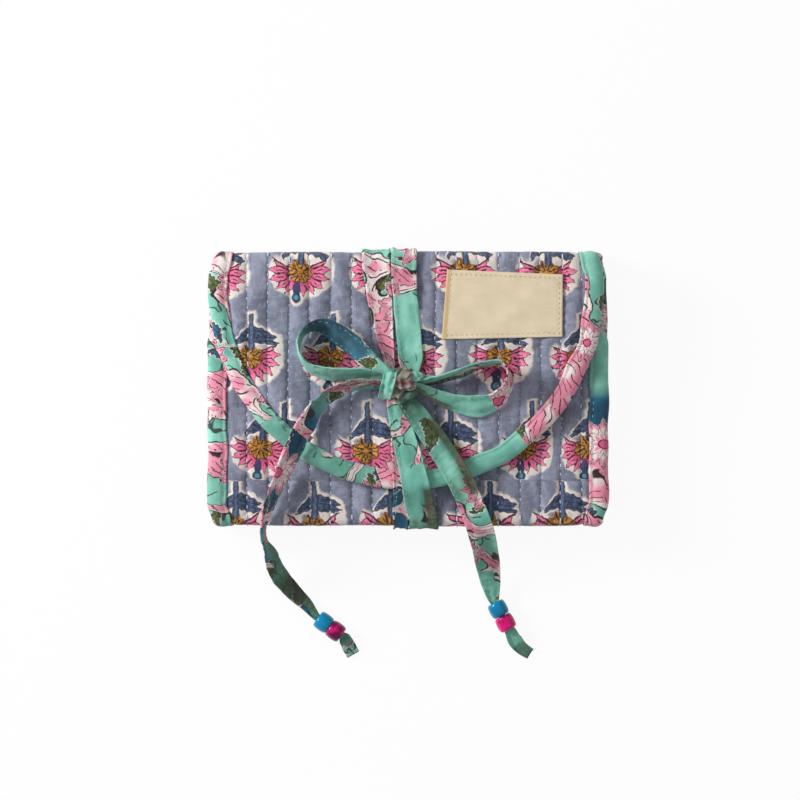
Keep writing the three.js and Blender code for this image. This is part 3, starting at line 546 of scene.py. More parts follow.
def blockPrint(p, u, v, kit=sprig):
    u, v = wobbled(p, u, v, 9, kit["wobble"])
    u, v = wobbled(p, u, v, 2.2, kit["tremble"])
    x, y, chance = stampAt(p, u, v, kit["pitch"], kit["rowPitch"], kit["shift"], kit["jitter"], middle=3)
    r, turn = reach(x, y), x.math("ARCTAN2", -y)
    pigment = p.noise(p.vector(u, v), 0.6, 4)
    grain = p.noise(p.vector(u, v * 0.6), 2.4, 3)

    # the fan of pink petals: pointed ends, deep notches, and a second row of petals inside it
    phase = turn / kit["petalTurn"] + (pigment - 0.5) * 0.5
    notch = tooth(phase)
    side = turn.math("SINE")
    outer = kit["fanReach"] + side * side * kit["fanSide"] - chance[1] * 0.8
    edge = outer - (1 - notch) * kit["notch"] - (1 - tooth(phase * 2 + 0.5)) * 0.7
    fan = (r - edge).most((abs(turn) - kit["fanTurn"]) * r)
    border = (notch * r * (kit["petalTurn"] / 2)).line(0.58) * r.rise(6.4, 7.4)
    midrib = ((1 - notch) * r * (kit["petalTurn"] / 2)).line(0.36)
    midrib = midrib * (edge - r).rise(3.6, 4.4) * r.rise(8.2, 8.8)
    fanRound = (r - outer * 0.94).most((abs(turn) - kit["fanTurn"]) * r * 0.7)

    # its mustard heart: two rows of lobes
    hy = y - 0.4
    hr, hTurn = reach(x * 0.94, hy), x.math("ARCTAN2", -hy) + (pigment - 0.5) * 0.5
    lobe = tooth(hTurn * (8 / (2 * math.pi)) + 0.5)
    heart = hr - kit["heart"] + lobe * lobe * 1.2
    spoke = (lobe * hr * 0.38).line(0.42) * hr.rise(1.0, 1.8)
    dash = ((1 - lobe) * hr * 0.38).line(0.34) * hr.rise(2.8, 3.4) * (5 - hr).rise(0, 0.6)

    # navy stem with a broad ragged wing on its right and a shorter one, hanging, on its left
    sx = x - kit["stemX"] - (chance[0] - 0.5) * y * 0.05
    left = -sx
    barbs = tooth(sx * 0.3 + chance[2]) * 0.6
    droop = sx * (sx * 0.026 + 0.1)
    wing = (y - kit["wingTop"] + droop + barbs).most(kit["wingTop"] - 8.4 - sx * 0.2 - y + barbs).most(-sx)
    teeth = tooth(y * 0.31 + chance[2] * 0.3) * 3.6 + tooth(y * 0.8) * 0.6
    right = wing.most(sx - kit["wingReach"] - teeth)
    fall = y - kit["wingTop"] + left * (left * 0.07 + 0.35) + barbs
    hang = (left - kit["leftReach"] - tooth(y * 0.4 + chance[2]) * 1.6).most(fall)
    hang = hang.most(kit["wingTop"] - 8.0 - left * (left * 0.02 + 0.15) - y + barbs).most(sx)
    leaf = right.least(hang)
    leafRound = wing.most(sx - kit["wingReach"] - 2.8).least(hang)
    stem = (abs(sx) - kit["stemHalf"] + (y - 12) * 0.03).most(y - kit["stemTop"] - sx * 0.3).most(4 - y)
    navy = leaf.least(stem)
    veins = (tooth((y + abs(sx) * 0.12) * 0.42) * 1.2).line(0.3) * abs(sx).rise(1.8, 3.4)
    veins = (veins * leaf.inside(0.3)).most((abs(sx) - 1.0).line(0.22) * stem.inside(0.2))

    drop = (reach((x + 1.2) / 1.8, (y + 8.8) / 3.6) - 1) * 1.9
    ringR = reach(x + 1.5, y + 13.7)
    ring = (ringR - 2.5).least((abs(x + 1.4) - 1.5).most(abs(y + 11.2) - 2))
    halo = blended(blended(fanRound, leafRound, 3.0), stem, 2.0)
    halo = blended(halo, ring, 2.5) + (p.noise(p.vector(u, v), 0.3) - 0.5) * 2.6 - x * 0.06

    # pigment lies unevenly, and each block lands a little off the last
    wash = p.noise(p.vector(u, v * 0.55), 0.07, 5, 0.62)
    blotch = p.noise(p.vector(u, v * 0.5), 0.28, 4, 0.6)
    streak = p.noise(p.vector(u * 0.16, v * 1.3), 1.0, 3).most(p.noise(p.vector(u * 1.3, v * 0.16), 1.0, 3))
    ground = p.mix(wash.rise(0.4, 0.6), kit["groundDeep"], kit["ground"])
    ground = p.mix(blotch.rise(0.44, 0.66) * 0.6, ground, kit["groundDeep"])
    ground = p.mix(streak.rise(0.54, 0.74) * 0.5 + grain.rise(0.55, 0.8) * 0.3, ground, kit["groundPale"])
    colour = p.mix((halo - kit["halo"]).inside(0.8), ground, kit["cream"])
    pink = p.mix(pigment.rise(0.42, 0.66), kit["pink"], kit["pinkPale"])
    pink = p.mix((10 - r).rise(0, 4) * 0.75, pink, kit["pinkDeep"])
    colour = p.mix(fan.inside(0.35) * (0.85 + pigment * 0.25), colour, pink)
    outline = (fan + 0.1).line(0.5).most(border.most(midrib) * fan.inside(0.3))
    colour = p.mix(outline * grain.rise(0.28, 0.4), colour, kit["ink"])
    mustard = p.mix(pigment.rise(0.42, 0.6), kit["mustardDeep"], kit["mustard"])
    colour = p.mix(heart.inside(0.3), colour, mustard)
    lines = (heart + 0.1).line(0.42) * (1 - hy.rise(2.4, 4.4)) * 0.85
    colour = p.mix(lines.most(spoke.most(dash) * heart.inside(0.3)), colour, kit["ink"])
    blue = p.mix(pigment.rise(0.4, 0.6), kit["navyDeep"], kit["navy"])
    blue = p.mix((1.1 - abs(sx)).rise(0, 0.8) * grain.rise(0.35, 0.6) * 0.6, blue, kit["navyPale"])
    colour = p.mix(navy.inside(0.35), colour, blue)
    lines = (veins * 0.8).most(leaf.line(0.38) * 0.8 * abs(sx).rise(1.4, 1.8)).most(stem.line(0.26) * 0.6)
    colour = p.mix(lines, colour, kit["ink"])
    colour = p.mix(drop.inside(0.3), colour, kit["drop"])
    colour = p.mix(ring.inside(0.3), colour, kit["navyDeep"])
    return p.mix((ringR - 1.3).inside(0.3), colour, kit["ring"]), grain


# The mint print of the binding and the tie: loose blooms, leaves and creepers, and two grey olive colours for painted
# shade
garden = {
    "bloomPitch": 43.0, "bloomRow": 36.0, "bloomShift": 17.0, "bloomReach": 12.5, "petals": 10,
    "leafPitch": 25.0, "leafRow": 20.0, "leafShift": 9.0, "leafLength": 10.5, "leafWidth": 3.6,
    "creeper": 0.012, "creeperMore": 0.062,
    "mint": dye(144, 212, 192), "mintDeep": dye(108, 180, 162), "mintPale": dye(176, 230, 214),
    "white": dye(240, 226, 222), "pink": dye(238, 146, 170), "pinkDeep": dye(226, 96, 140),
    "teal": dye(28, 106, 138), "tealDeep": dye(20, 72, 100), "olive": dye(100, 118, 52),
    "oliveDeep": dye(60, 76, 36), "paintedShadeOlive": dye(84, 100, 72), "paintedShadeGrey": dye(94, 104, 86),
    "ink": dye(46, 24, 34),
}


# crowd says how much of the print shows, shade how far the ground turns to teal, and the third number how far painted
# shade darkens it to grey olive
def gardenPrint(p, u, v, crowd, shade, paintedShade, kit=garden):
    u, v = wobbled(p, u, v, 8, 0.9)
    u, v = wobbled(p, u, v, 2.2, 0.22)
    pigment = p.noise(p.vector(u, v), 0.5, 4)
    grain = p.noise(p.vector(u, v), 2.2, 3)
    x, y, chance = stampAt(p, u, v, kit["bloomPitch"], kit["bloomRow"], kit["bloomShift"], 7)
    r, turn = reach(x, y * (0.85 + chance[1] * 0.4)), x.math("ARCTAN2", y)
    size = kit["bloomReach"] * (0.75 + chance[2] * 0.5)
    shown = (crowd - chance[0] * 0.8).rise(0.05, 0.1)
    outer = tooth(turn * (kit["petals"] / (2 * math.pi)) + (pigment - 0.5) * 0.5)
    inner = 1 - outer
    far = r - size * (1 - outer * 0.36)
    near = r - size * 0.62 * (1 - inner * 0.42)
    core = r - size * 0.2
    rib = (outer * r * 0.3).line(0.34) * (r - size * 0.62).rise(0, 1) * (-1.6 - far).rise(-0.6, 0.4)

    lx, ly, luck = stampAt(p, u, v, kit["leafPitch"], kit["leafRow"], kit["leafShift"], 8)
    lean = luck[2] * 6.3
    cos, sin = lean.math("COSINE"), lean.math("SINE")
    along, across = lx * cos + ly * sin, ly * cos - lx * sin
    across = across + along * along * 0.05
    leaf = (reach(along / kit["leafLength"], across / kit["leafWidth"]) - 1) * kit["leafWidth"]
    leaf = leaf + tooth(along * 0.45) * 0.8
    leafShown = (crowd * 1.1 - luck[0]).rise(0.05, 0.1)
    leafVein = across.line(0.3).most((tooth(along * 0.5 + across * 0.35) * 1.4).line(0.2) * 0.8)

    # creepers follow one level of a slow noise; rungs, veins and dots fill them
    slow = p.noise(p.vector(u, v), 0.036, 1)
    creep = (abs(slow - 0.47) - (crowd * kit["creeperMore"] + kit["creeper"])) * 60
    creeperShown = crowd.rise(0.36, 0.42)
    tone = p.noise(p.vector(u + 30, v), 0.1, 1)
    rung = (tooth((u - v) * 0.2 + slow * 5) * 2.5).line(0.5) * tone.rise(0.5, 0.54) * (-creep).rise(0.6, 1.2)
    vein = (tooth(slow * 22) * 0.9).line(0.2) * (1 - tone.rise(0.46, 0.5))
    dots = p.noise(p.vector(u, v), 0.5, 1).rise(0.68, 0.7) * tone.rise(0.4, 0.42)
    curl = p.noise(p.vector(u, v * 0.8), 0.1, 1)
    scrawl = (abs(curl - 0.5) * 34).line(0.8) * p.noise(p.vector(u + 50, v), 0.07, 1).rise(0.5, 0.54)
    wash = p.noise(p.vector(u, v), 0.06, 4)

    colour = p.mix(wash.rise(0.38, 0.64), kit["mintDeep"], kit["mint"])
    colour = p.mix(grain.rise(0.52, 0.8) * 0.4, colour, kit["mintPale"])
    teal = p.mix(wash.rise(0.4, 0.6), kit["tealDeep"], kit["teal"])
    colour = p.mix(shade * pigment.rise(0.2, 0.36), colour, teal)
    colour = p.mix(scrawl * (crowd - 0.12).rise(0, 0.3) * 0.9, colour, kit["ink"])
    # painted shade also turns the teal leaves olive
    blueLeaf = (luck[1] - paintedShade * 0.5).rise(0.58, 0.63)
    leafColour = p.mix(blueLeaf, kit["olive"], kit["teal"])
    leafDark = p.mix(blueLeaf, kit["oliveDeep"], kit["tealDeep"])
    leafColour = p.mix(pigment.rise(0.4, 0.6), leafDark, leafColour)
    colour = p.mix((leaf - 0.8).inside(0.4) * leafShown * 0.7, colour, kit["white"])
    colour = p.mix(leaf.inside(0.3) * leafShown, colour, leafColour)
    colour = p.mix(leaf.line(0.42).most(leafVein * leaf.inside(0.3)) * leafShown * 0.9, colour, kit["ink"])
    band = p.mix((-creep * 0.6 + (tone - 0.52) * 12).rise(0, 2.4), kit["white"], kit["pink"])
    band = p.mix(grain.rise(0.6, 0.8) * 0.4, band, kit["white"])
    colour = p.mix(creep.inside(0.25) * creeperShown, colour, band)
    marks = (rung.most(dots).most(vein) * creep.inside(0.2)).most(creep.line(0.5))
    colour = p.mix(marks * creeperShown * grain.rise(0.25, 0.35), colour, kit["ink"])
    colour = p.mix((far - 0.7).inside(0.4) * shown, colour, kit["white"])
    petals = p.mix((far + 3.2).rise(-1.6, 1.4), kit["white"], kit["pink"])
    petals = p.mix(near.inside(0.3), petals, p.mix((near + 2.4).rise(-1.4, 1.2), kit["pink"], kit["white"]))
    petals = p.mix(core.inside(0.3), petals, kit["pinkDeep"])
    colour = p.mix(far.inside(0.3) * shown, colour, petals)
    lines = far.line(0.46).most(near.line(0.42)).most(core.line(0.4)).most(rib * 0.85)
    colour = p.mix(lines * shown * (0.7 + grain * 0.5), colour, kit["ink"])
    # painted shade: the colour is darkened and greyed towards olive as the third number grows
    colour = p.mix(paintedShade * (0.55 + pigment * 0.5), colour, kit["paintedShadeOlive"], "MULTIPLY")
    return p.mix(paintedShade.rise(0.6, 1.3) * 0.38, colour, kit["paintedShadeGrey"]), grain


# Fine wrinkles that a soft cotton keeps, apart from those in the mesh
def creases(p, u, v):
    long = p.noise(p.vector(u * 0.12, v * 0.5), 1.0, 4)
    return long * 1.4 + p.noise(p.vector(u, v), 0.8, 3) * 0.5


def quiltMaterial():
    p = Paint("quiltedCotton", Sheen_Weight=0.25, Sheen_Roughness=0.6, Specular_IOR_Level=0.25)
    u, v = p.cloth()
    colour, grain = blockPrint(p, u, v)
    row, phase, sewn = p.marked("seam")
    off = (row - round(row)) * quilting["pitch"]
    phase = phase + round(row) * quilting["stagger"] - 0.25
    gap = abs(phase - round(phase)) * quilting["stitch"]  # from the middle of the gap between two stitches
    # painted shade: a dark line along each seam's groove and dark dots at the needle holes, mixed towards dye(50, 52,
    # 80)
    hole = (reach(off, gap - 1.05) - 0.42).inside(0.16)
    fold = (1 - abs(off).rise(0.1, 1.1)) * 0.16
    colour = p.mix((fold + hole * 0.26) * sewn, colour, dye(50, 52, 80))
    tuft = (1 - abs(off).rise(0.0, 0.9)) * sewn
    height = creases(p, u, v) + weave(p, u, v, 0.42) * 0.5 - tuft * 1.6
    return p.finish(colour, 0.84 + grain * 0.12, height, distance=0.22)


def gardenMaterial(name):
    p = Paint(name, Sheen_Weight=0.2, Sheen_Roughness=0.55, Specular_IOR_Level=0.3)
    u, v = p.cloth()
    # the cut attribute holds crowd, shade and painted shade
    colour, grain = gardenPrint(p, u, v, *p.marked("cut"))
    height = creases(p, u * 2, v * 0.7) + weave(p, u, v, 0.36) * 0.5
    return p.finish(colour, 0.74 + grain * 0.18, height, distance=0.16)


# Plain dyed cottons for the inside: a base, its slubs, and a little mottle
def plainMaterial(name, base, deep, pale, pitch=0.4, rough=0.85, crease=0.2):
    p = Paint(name, Sheen_Weight=0.2, Specular_IOR_Level=0.25)
    u, v = p.cloth()
    mottle = p.noise(p.vector(u, v), 0.08, 4)
    slub = p.noise(p.vector(u * 0.2, v * 3), 1.6, 2).most(p.noise(p.vector(u * 3, v * 0.2), 1.6, 2))
    colour = p.mix(mottle.rise(0.35, 0.65), deep, base)
    colour = p.mix(slub.rise(0.55, 0.8) * 0.6, colour, pale)
    height = creases(p, u, v) * 0.6 + weave(p, u, v, pitch)
    return p.finish(colour, rough - mottle * 0.1, height, distance=crease)


# The woven label: ribbed ivory cloth, darker where it is folded under
def labelMaterial():
    p = Paint("labelCloth", Sheen_Weight=0.1, Specular_IOR_Level=0.3)
    u, v = p.cloth()
    mottle = p.noise(p.vector(u, v), 0.12, 4)
    rib = tooth(v / 0.55)
    colour = p.mix(mottle.rise(0.3, 0.7), dye(240, 222, 190), dye(248, 232, 202))
    slub = p.noise(p.vector(u * 0.15, v * 4), 1.5, 2).rise(0.5, 0.75)
    colour = p.mix(rib * 0.2 + slub * 0.25, colour, dye(216, 192, 154))
    fold = (2.6 - u).rise(0, 0.6)
    colour = p.mix(fold * 0.75, colour, dye(214, 178, 118))
    return p.finish(colour, 0.8 - mottle * 0.1, rib + weave(p, u, v, 0.5), distance=0.12)


# Moulded, cast and printed finishes for the hard pieces, which carry no cloth coordinates
def hardMaterial(name, base, deep, rough, scale=900, specks=0.15, clouds=0.6, metal=0.0, coat=0.0, shine=0.5):
    p = Paint(name, Metallic=metal, Coat_Weight=coat, Coat_Roughness=0.08, Specular_IOR_Level=shine)
    place = p.solidPlace()
    cloud = p.noise(place, scale * 0.25, 3)
    fine = p.noise(place, scale, 4)
    colour = p.mix(cloud.rise(0.35, 0.65) * clouds + fine.rise(0.5, 0.8) * specks, base, deep)
    return p.finish(colour, rough + fine * 0.16 - 0.08, fine + cloud, distance=0.03)


def threadMaterial(name, base, deep):
    p = Paint(name, Sheen_Weight=0.3)
    u, v = p.cloth()
    twist = tooth(v * 1.6 + u * 1.2)
    return p.finish(p.mix(twist, deep, base), 0.7 + twist * 0.1, twist, distance=0.06)


glazed = {"coat": 0.4, "shine": 0.2}
cloths = {
    "quilt": quiltMaterial(),
    "binding": gardenMaterial("biasBinding"),
    "tie": gardenMaterial("tieCotton"),
    "lining": plainMaterial("liningCotton", dye(118, 196, 168), dye(98, 178, 150), dye(146, 212, 188)),
    "pocket": plainMaterial("pocketCotton", dye(224, 132, 162), dye(206, 110, 146), dye(236, 160, 184)),
    "label": labelMaterial(),
    "tape": plainMaterial("zipTape", dye(214, 118, 150), dye(196, 98, 134), dye(226, 142, 170), pitch=0.7),
    "zip": hardMaterial("zipPlastic", dye(216, 96, 140), dye(190, 70, 118), 0.38, coat=0.2),
    "metal": hardMaterial("snapMetal", dye(148, 141, 126), dye(104, 98, 87), 0.62, metal=1.0),
    "blue": hardMaterial("beadBlue", dye(0, 134, 182), dye(0, 92, 132), 0.26, 380, 0.05, **glazed),
    "magenta": hardMaterial("beadPink", dye(222, 0, 118), dye(84, 0, 58), 0.26, 760, 0.1, 0.95, **glazed),
    "thread": threadMaterial("quiltThread", dye(228, 234, 248), dye(188, 196, 222)),
    "mintThread": threadMaterial("mintThread", dye(196, 232, 214), dye(104, 176, 148)),
    "ivoryThread": threadMaterial("ivoryThread", dye(240, 218, 176), dye(206, 168, 112)),
}
print("materials:", len(cloths))


# The middle of a strip that lies on the pack, and of one that lies on another strip
rest, over = 0.74, 1.92

# The tie's two turns: how they lie, and the place and width at which they cross the lower and upper fold
tieTurns = [
    {"gap": 0.25, "lift": rest, "low": (-3.6, 7.6), "high": (-15.9, 14.2)},
    {"gap": 0.45, "lift": over, "low": (7.9, 14.6), "high": (-2, 12.8)},
]
foldFace = 68.5


def packTop(y):  # the flap's face, and past its edge the front panel's
    return mixed(hingeZ + flapSlope * (y - foldY), frontTop, smoothStep(-50 - y, 1, 6))


def on(y, height):  # as a height over the pack
    return packTop(y) + height


def lying(rows):  # from place, height over the pack and width
    return [[x, y, packTop(y) + height, width, 0] for x, y, height, width in rows]


def outside(turn):  # the middle plane of a turn of the tie, where it lies on a fold
    return foldFace + turn["gap"] + 0.4


def overFold(side, turn):
    out, (x, width) = outside(turn), turn["high" if side > 0 else "low"]
    top, split = (hingeZ, hingeZ - 2.9) if side > 0 else (frontTop, 8)
    bend = ((foldY - 3.5, 0), (foldY - 1.2, 0.3), (out - 0.2, 1.6), (out, 3.2))
    rows = [[x, side * y, top + turn["lift"] - drop, width, 0] for y, drop in bend]
    return rows + [[x, side * out, split, width, 0]]


# Even steps along a smooth curve through rows of place, width and lean
def uniformRoute(rows, step):
    rows = np.array(rows, float)
    ends = np.vstack([2 * rows[0] - rows[1], rows, 2 * rows[-1] - rows[-2]])
    out = []
    for i in range(len(rows) - 1):
        p0, p1, p2, p3 = ends[i:i + 4]
        gaps = [max(np.linalg.norm(b[:3] - a[:3]) ** 0.5, 1e-4) for a, b in ((p0, p1), (p1, p2), (p2, p3))]
        t1 = (p1 - p0) / gaps[0] - (p2 - p0) / (gaps[0] + gaps[1]) + (p2 - p1) / gaps[1]
        t2 = (p2 - p1) / gaps[1] - (p3 - p1) / (gaps[1] + gaps[2]) + (p3 - p2) / gaps[2]
        t1, t2 = t1 * gaps[1], t2 * gaps[1]
        for t in np.arange(12) / 12:
            point = ((2 * t ** 3 - 3 * t ** 2 + 1) * p1 + (t ** 3 - 2 * t ** 2 + t) * t1
                     + (3 * t ** 2 - 2 * t ** 3) * p2 + (t ** 3 - t ** 2) * t2)
            out.append(np.concatenate([point[:3], mixed(p1[3:], p2[3:], t)]))
    out = np.array(out + [rows[-1]])
    length = runLength(out[:, :3])
    stations = np.linspace(0, length[-1], max(int(length[-1] / step), 4) + 1)
    return spaced(stations, length, out), stations


# A strip's place, its direction, and the ways across it and up from it
def stripFrames(route):
    place = route[:, :3]
    along = unit(np.gradient(place, axis=0))
    sides = np.zeros_like(along)
    side = np.array([1.0, 0, 0])
    for k in range(len(along)):
        if math.hypot(along[k, 0], along[k, 1]) > 0.3:
            side = np.array([-along[k, 1], along[k, 0], 0])
        side = side - along[k] * side.dot(along[k])
        side = side / np.linalg.norm(side)
        sides[k] = side
    above = np.cross(along, sides)
    lean = np.radians(route[:, 4])[:, None]
    across = sides * np.cos(lean) + above * np.sin(lean)
    return place, along, across, np.cross(along, across)


# Where a piece's cloth was cut from the print: its place there and its turn in degrees
def clothPlace(across, along, cut):
    u0, v0, turn = cut
    c, s = math.cos(math.radians(turn)), math.sin(math.radians(turn))
    return u0 + across * c - along * s, v0 + across * s + along * c


# How the print and its painted shade run along it, from rows of the share of the length, then crowd, shade and painted
# shade
def printAlong(share, rows):
    rows = np.array([(*row, 0)[:4] for row in rows], float)
    return np.stack([np.interp(share, rows[:, 0], rows[:, k]) for k in (1, 2, 3)], -1)


# How a strip's cloth lies: what each strip below doesn't say comes from here
stripCloth = {
    "step": 1.0, "cup": 0.25, "crumple": 0.32, "crease": 0.5, "pleat": 0.45, "pleatEnd": 0, "pleatReach": 11,
    "gatherBelow": 10.5, "curl": (0.3, 0.2), "hems": (), "edges": (-1, 1), "sewn": 1.0,
}

# The widths from which a strip is fully firm, loose or cupped, and how long its waves are
stripForm = {
    "firm": 6, "loose": 8, "cupped": 12, "crumpleWave": 11, "smallWave": 6, "creaseWave": 12, "pleatWave": 25,
    "curlWave": 24, "widthWave": 17, "waver": 0.03, "gathered": 1.6, "pleats": 2.5,
}

# Half of a strip's section, from one edge to the other: its turned-in hems are thicker
stripShare = np.array([-1, -0.96, -0.88, -0.76, -0.5, -0.25, 0, 0.25, 0.5, 0.76, 0.88, 0.96, 1])
stripHeight = np.array([0.05, 0.38, 0.44, 0.3, 0.26, 0.26, 0.26, 0.26, 0.26, 0.3, 0.44, 0.38, 0.05])


def stripLoops(kit, route, stations, seed, form=stripForm):
    place, along, across, up = stripFrames(route)
    width, s = route[:, 3:4], stations[:, None]
    q = np.concatenate([stripShare, stripShare[-2:0:-1]])
    section = np.concatenate([stripHeight, -stripHeight[-2:0:-1]])
    gather = np.clip(1 - width / kit["gatherBelow"], 0, 1)  # drawn narrow, a strip is thicker and pleated
    thick = section * (1 + gather * form["gathered"])
    loose, firm, cupped = (np.clip(width / form[key], 0, 1) for key in ("loose", "firm", "cupped"))
    lift = kit["cup"] * (1 - q ** 2) * cupped
    lift = lift + kit["crumple"] * ripple(q * width * 0.5, s * 0.7, form["crumpleWave"], seed) * loose
    lift = lift + kit["crumple"] * 0.5 * ripple(q * width, s * 1.4, form["smallWave"], seed + 1) * loose
    crease = np.abs(ripple(q * width * 0.9, s * 0.32, form["creaseWave"], seed + 5))
    lift = lift - kit["crease"] * crease * loose * (1 - q ** 4)
    ends = np.exp(-s / kit["pleatReach"]) + kit["pleatEnd"] * np.exp((s - s[-1]) / kit["pleatReach"])
    drawn = np.maximum(gather * 0.5, kit["pleat"] * ends)
    wander = ripple(s, s, form["pleatWave"], seed + 2) * 1.5
    lift = lift + drawn * np.cos(q * math.pi * form["pleats"] + wander) * firm
    curl = np.where(q < 0, *kit["curl"])
    lift = lift + curl * np.abs(q) ** 5 * (1 + 0.8 * ripple(s, s * 0, form["curlWave"], seed + 4))
    wide = width / 2 * (1 + form["waver"] * ripple(s, s * 0, form["widthWave"], seed + 3) * firm)
    loops = place[:, None] + across[:, None] * (q * wide)[..., None] + up[:, None] * (thick + lift)[..., None]
    return loops, q, wide, (place, along, across, up, lift)


def stripPiece(name, kit, body, seed):
    kit = {**stripCloth, **kit}
    route, stations = uniformRoute(kit["rows"], kit["step"])
    loops, q, wide, facts = stripLoops(kit, route, stations, seed)
    around = np.append(q, q[0])
    uv = np.stack(clothPlace(around * wide, stations[:, None] + 0 * around, kit["cut"]), -1)
    piece = tubePiece(name, loops, uv, [cloths["tie"]])
    share = stations / stations[-1]
    printAndShade = np.repeat(printAlong(share, kit["print"])[:, None], len(q), axis=1)
    # edge bands change crowd, shade and painted shade along one edge; most darken it with painted shade
    for start, end, edge, *change in kit["hems"]:
        begun, ended = (smoothStep(share, at - 0.03, at + 0.03) for at in (start, end))
        hem = (begun * (1 - ended))[:, None] * smoothStep(q * edge, 0.1, 0.6)
        printAndShade += hem[..., None] * np.array(change)
    # the cut attribute carries crowd, shade and painted shade to the tie's material
    markPoints(piece, "cut", np.maximum(printAndShade, 0))
    fitPiece(piece, body, kit.get("node"), "tie_cotton")
    return piece, kit, route, stations, facts


# Running stitches: each a short thread that dips into the cloth at both ends
stitchShape = {
    "share": (-0.5, -0.36, 0, 0.36, 0.5), "rise": (-0.9, 0.25, 0.6, 0.25, -0.9),
    "size": (0.5, 1, 1.1, 1, 0.5), "sides": 6, "length": (0.82, 1.12), "turn": 0.12,
}


def stitchPiece(name, rows, thread, material, body, slot):
    length, radius = thread
    centres, directions, normals = (np.asarray(a, float).reshape(-1, 3) for a in rows)
    directions, normals = unit(directions), unit(normals)
    across = unit(np.cross(directions, normals))
    rng = np.random.default_rng(len(centres))
    long = length * rng.uniform(*stitchShape["length"], (len(centres), 1, 1))
    turn = rng.uniform(-stitchShape["turn"], stitchShape["turn"], (len(centres), 1))
    directions, across = directions + across * turn, across - directions * turn
    share, rise, size = (np.array(stitchShape[key]) for key in ("share", "rise", "size"))
    sides, rings = stitchShape["sides"], len(share)
    angle = np.arange(sides) * math.pi / (sides / 2)
    base = centres[:, None] + directions[:, None] * share[:, None] * long
    base = base + normals[:, None] * (rise * radius)[:, None]
    spoke = across[:, None, None] * np.cos(angle)[:, None] + normals[:, None, None] * np.sin(angle)[:, None]
    points = base[:, :, None] + spoke * (size * radius)[:, None, None]
    faces = list(gridFaces(rings, sides, wrap=True)[0])
    faces += [list(range(sides)), list(range(sides * (rings - 1), sides * rings))]
    allFaces, uvs = [], []
    for k in range(len(centres)):
        for face in faces:
            allFaces.append([int(i) + rings * sides * k for i in face])
            uvs.append([(i % sides * 0.2, i // sides * 0.5 + k) for i in face])
    piece = newPiece(name, points.reshape(-1, 3), allFaces, uvs, [cloths[material]])
    fitPiece(piece, body, None, slot)
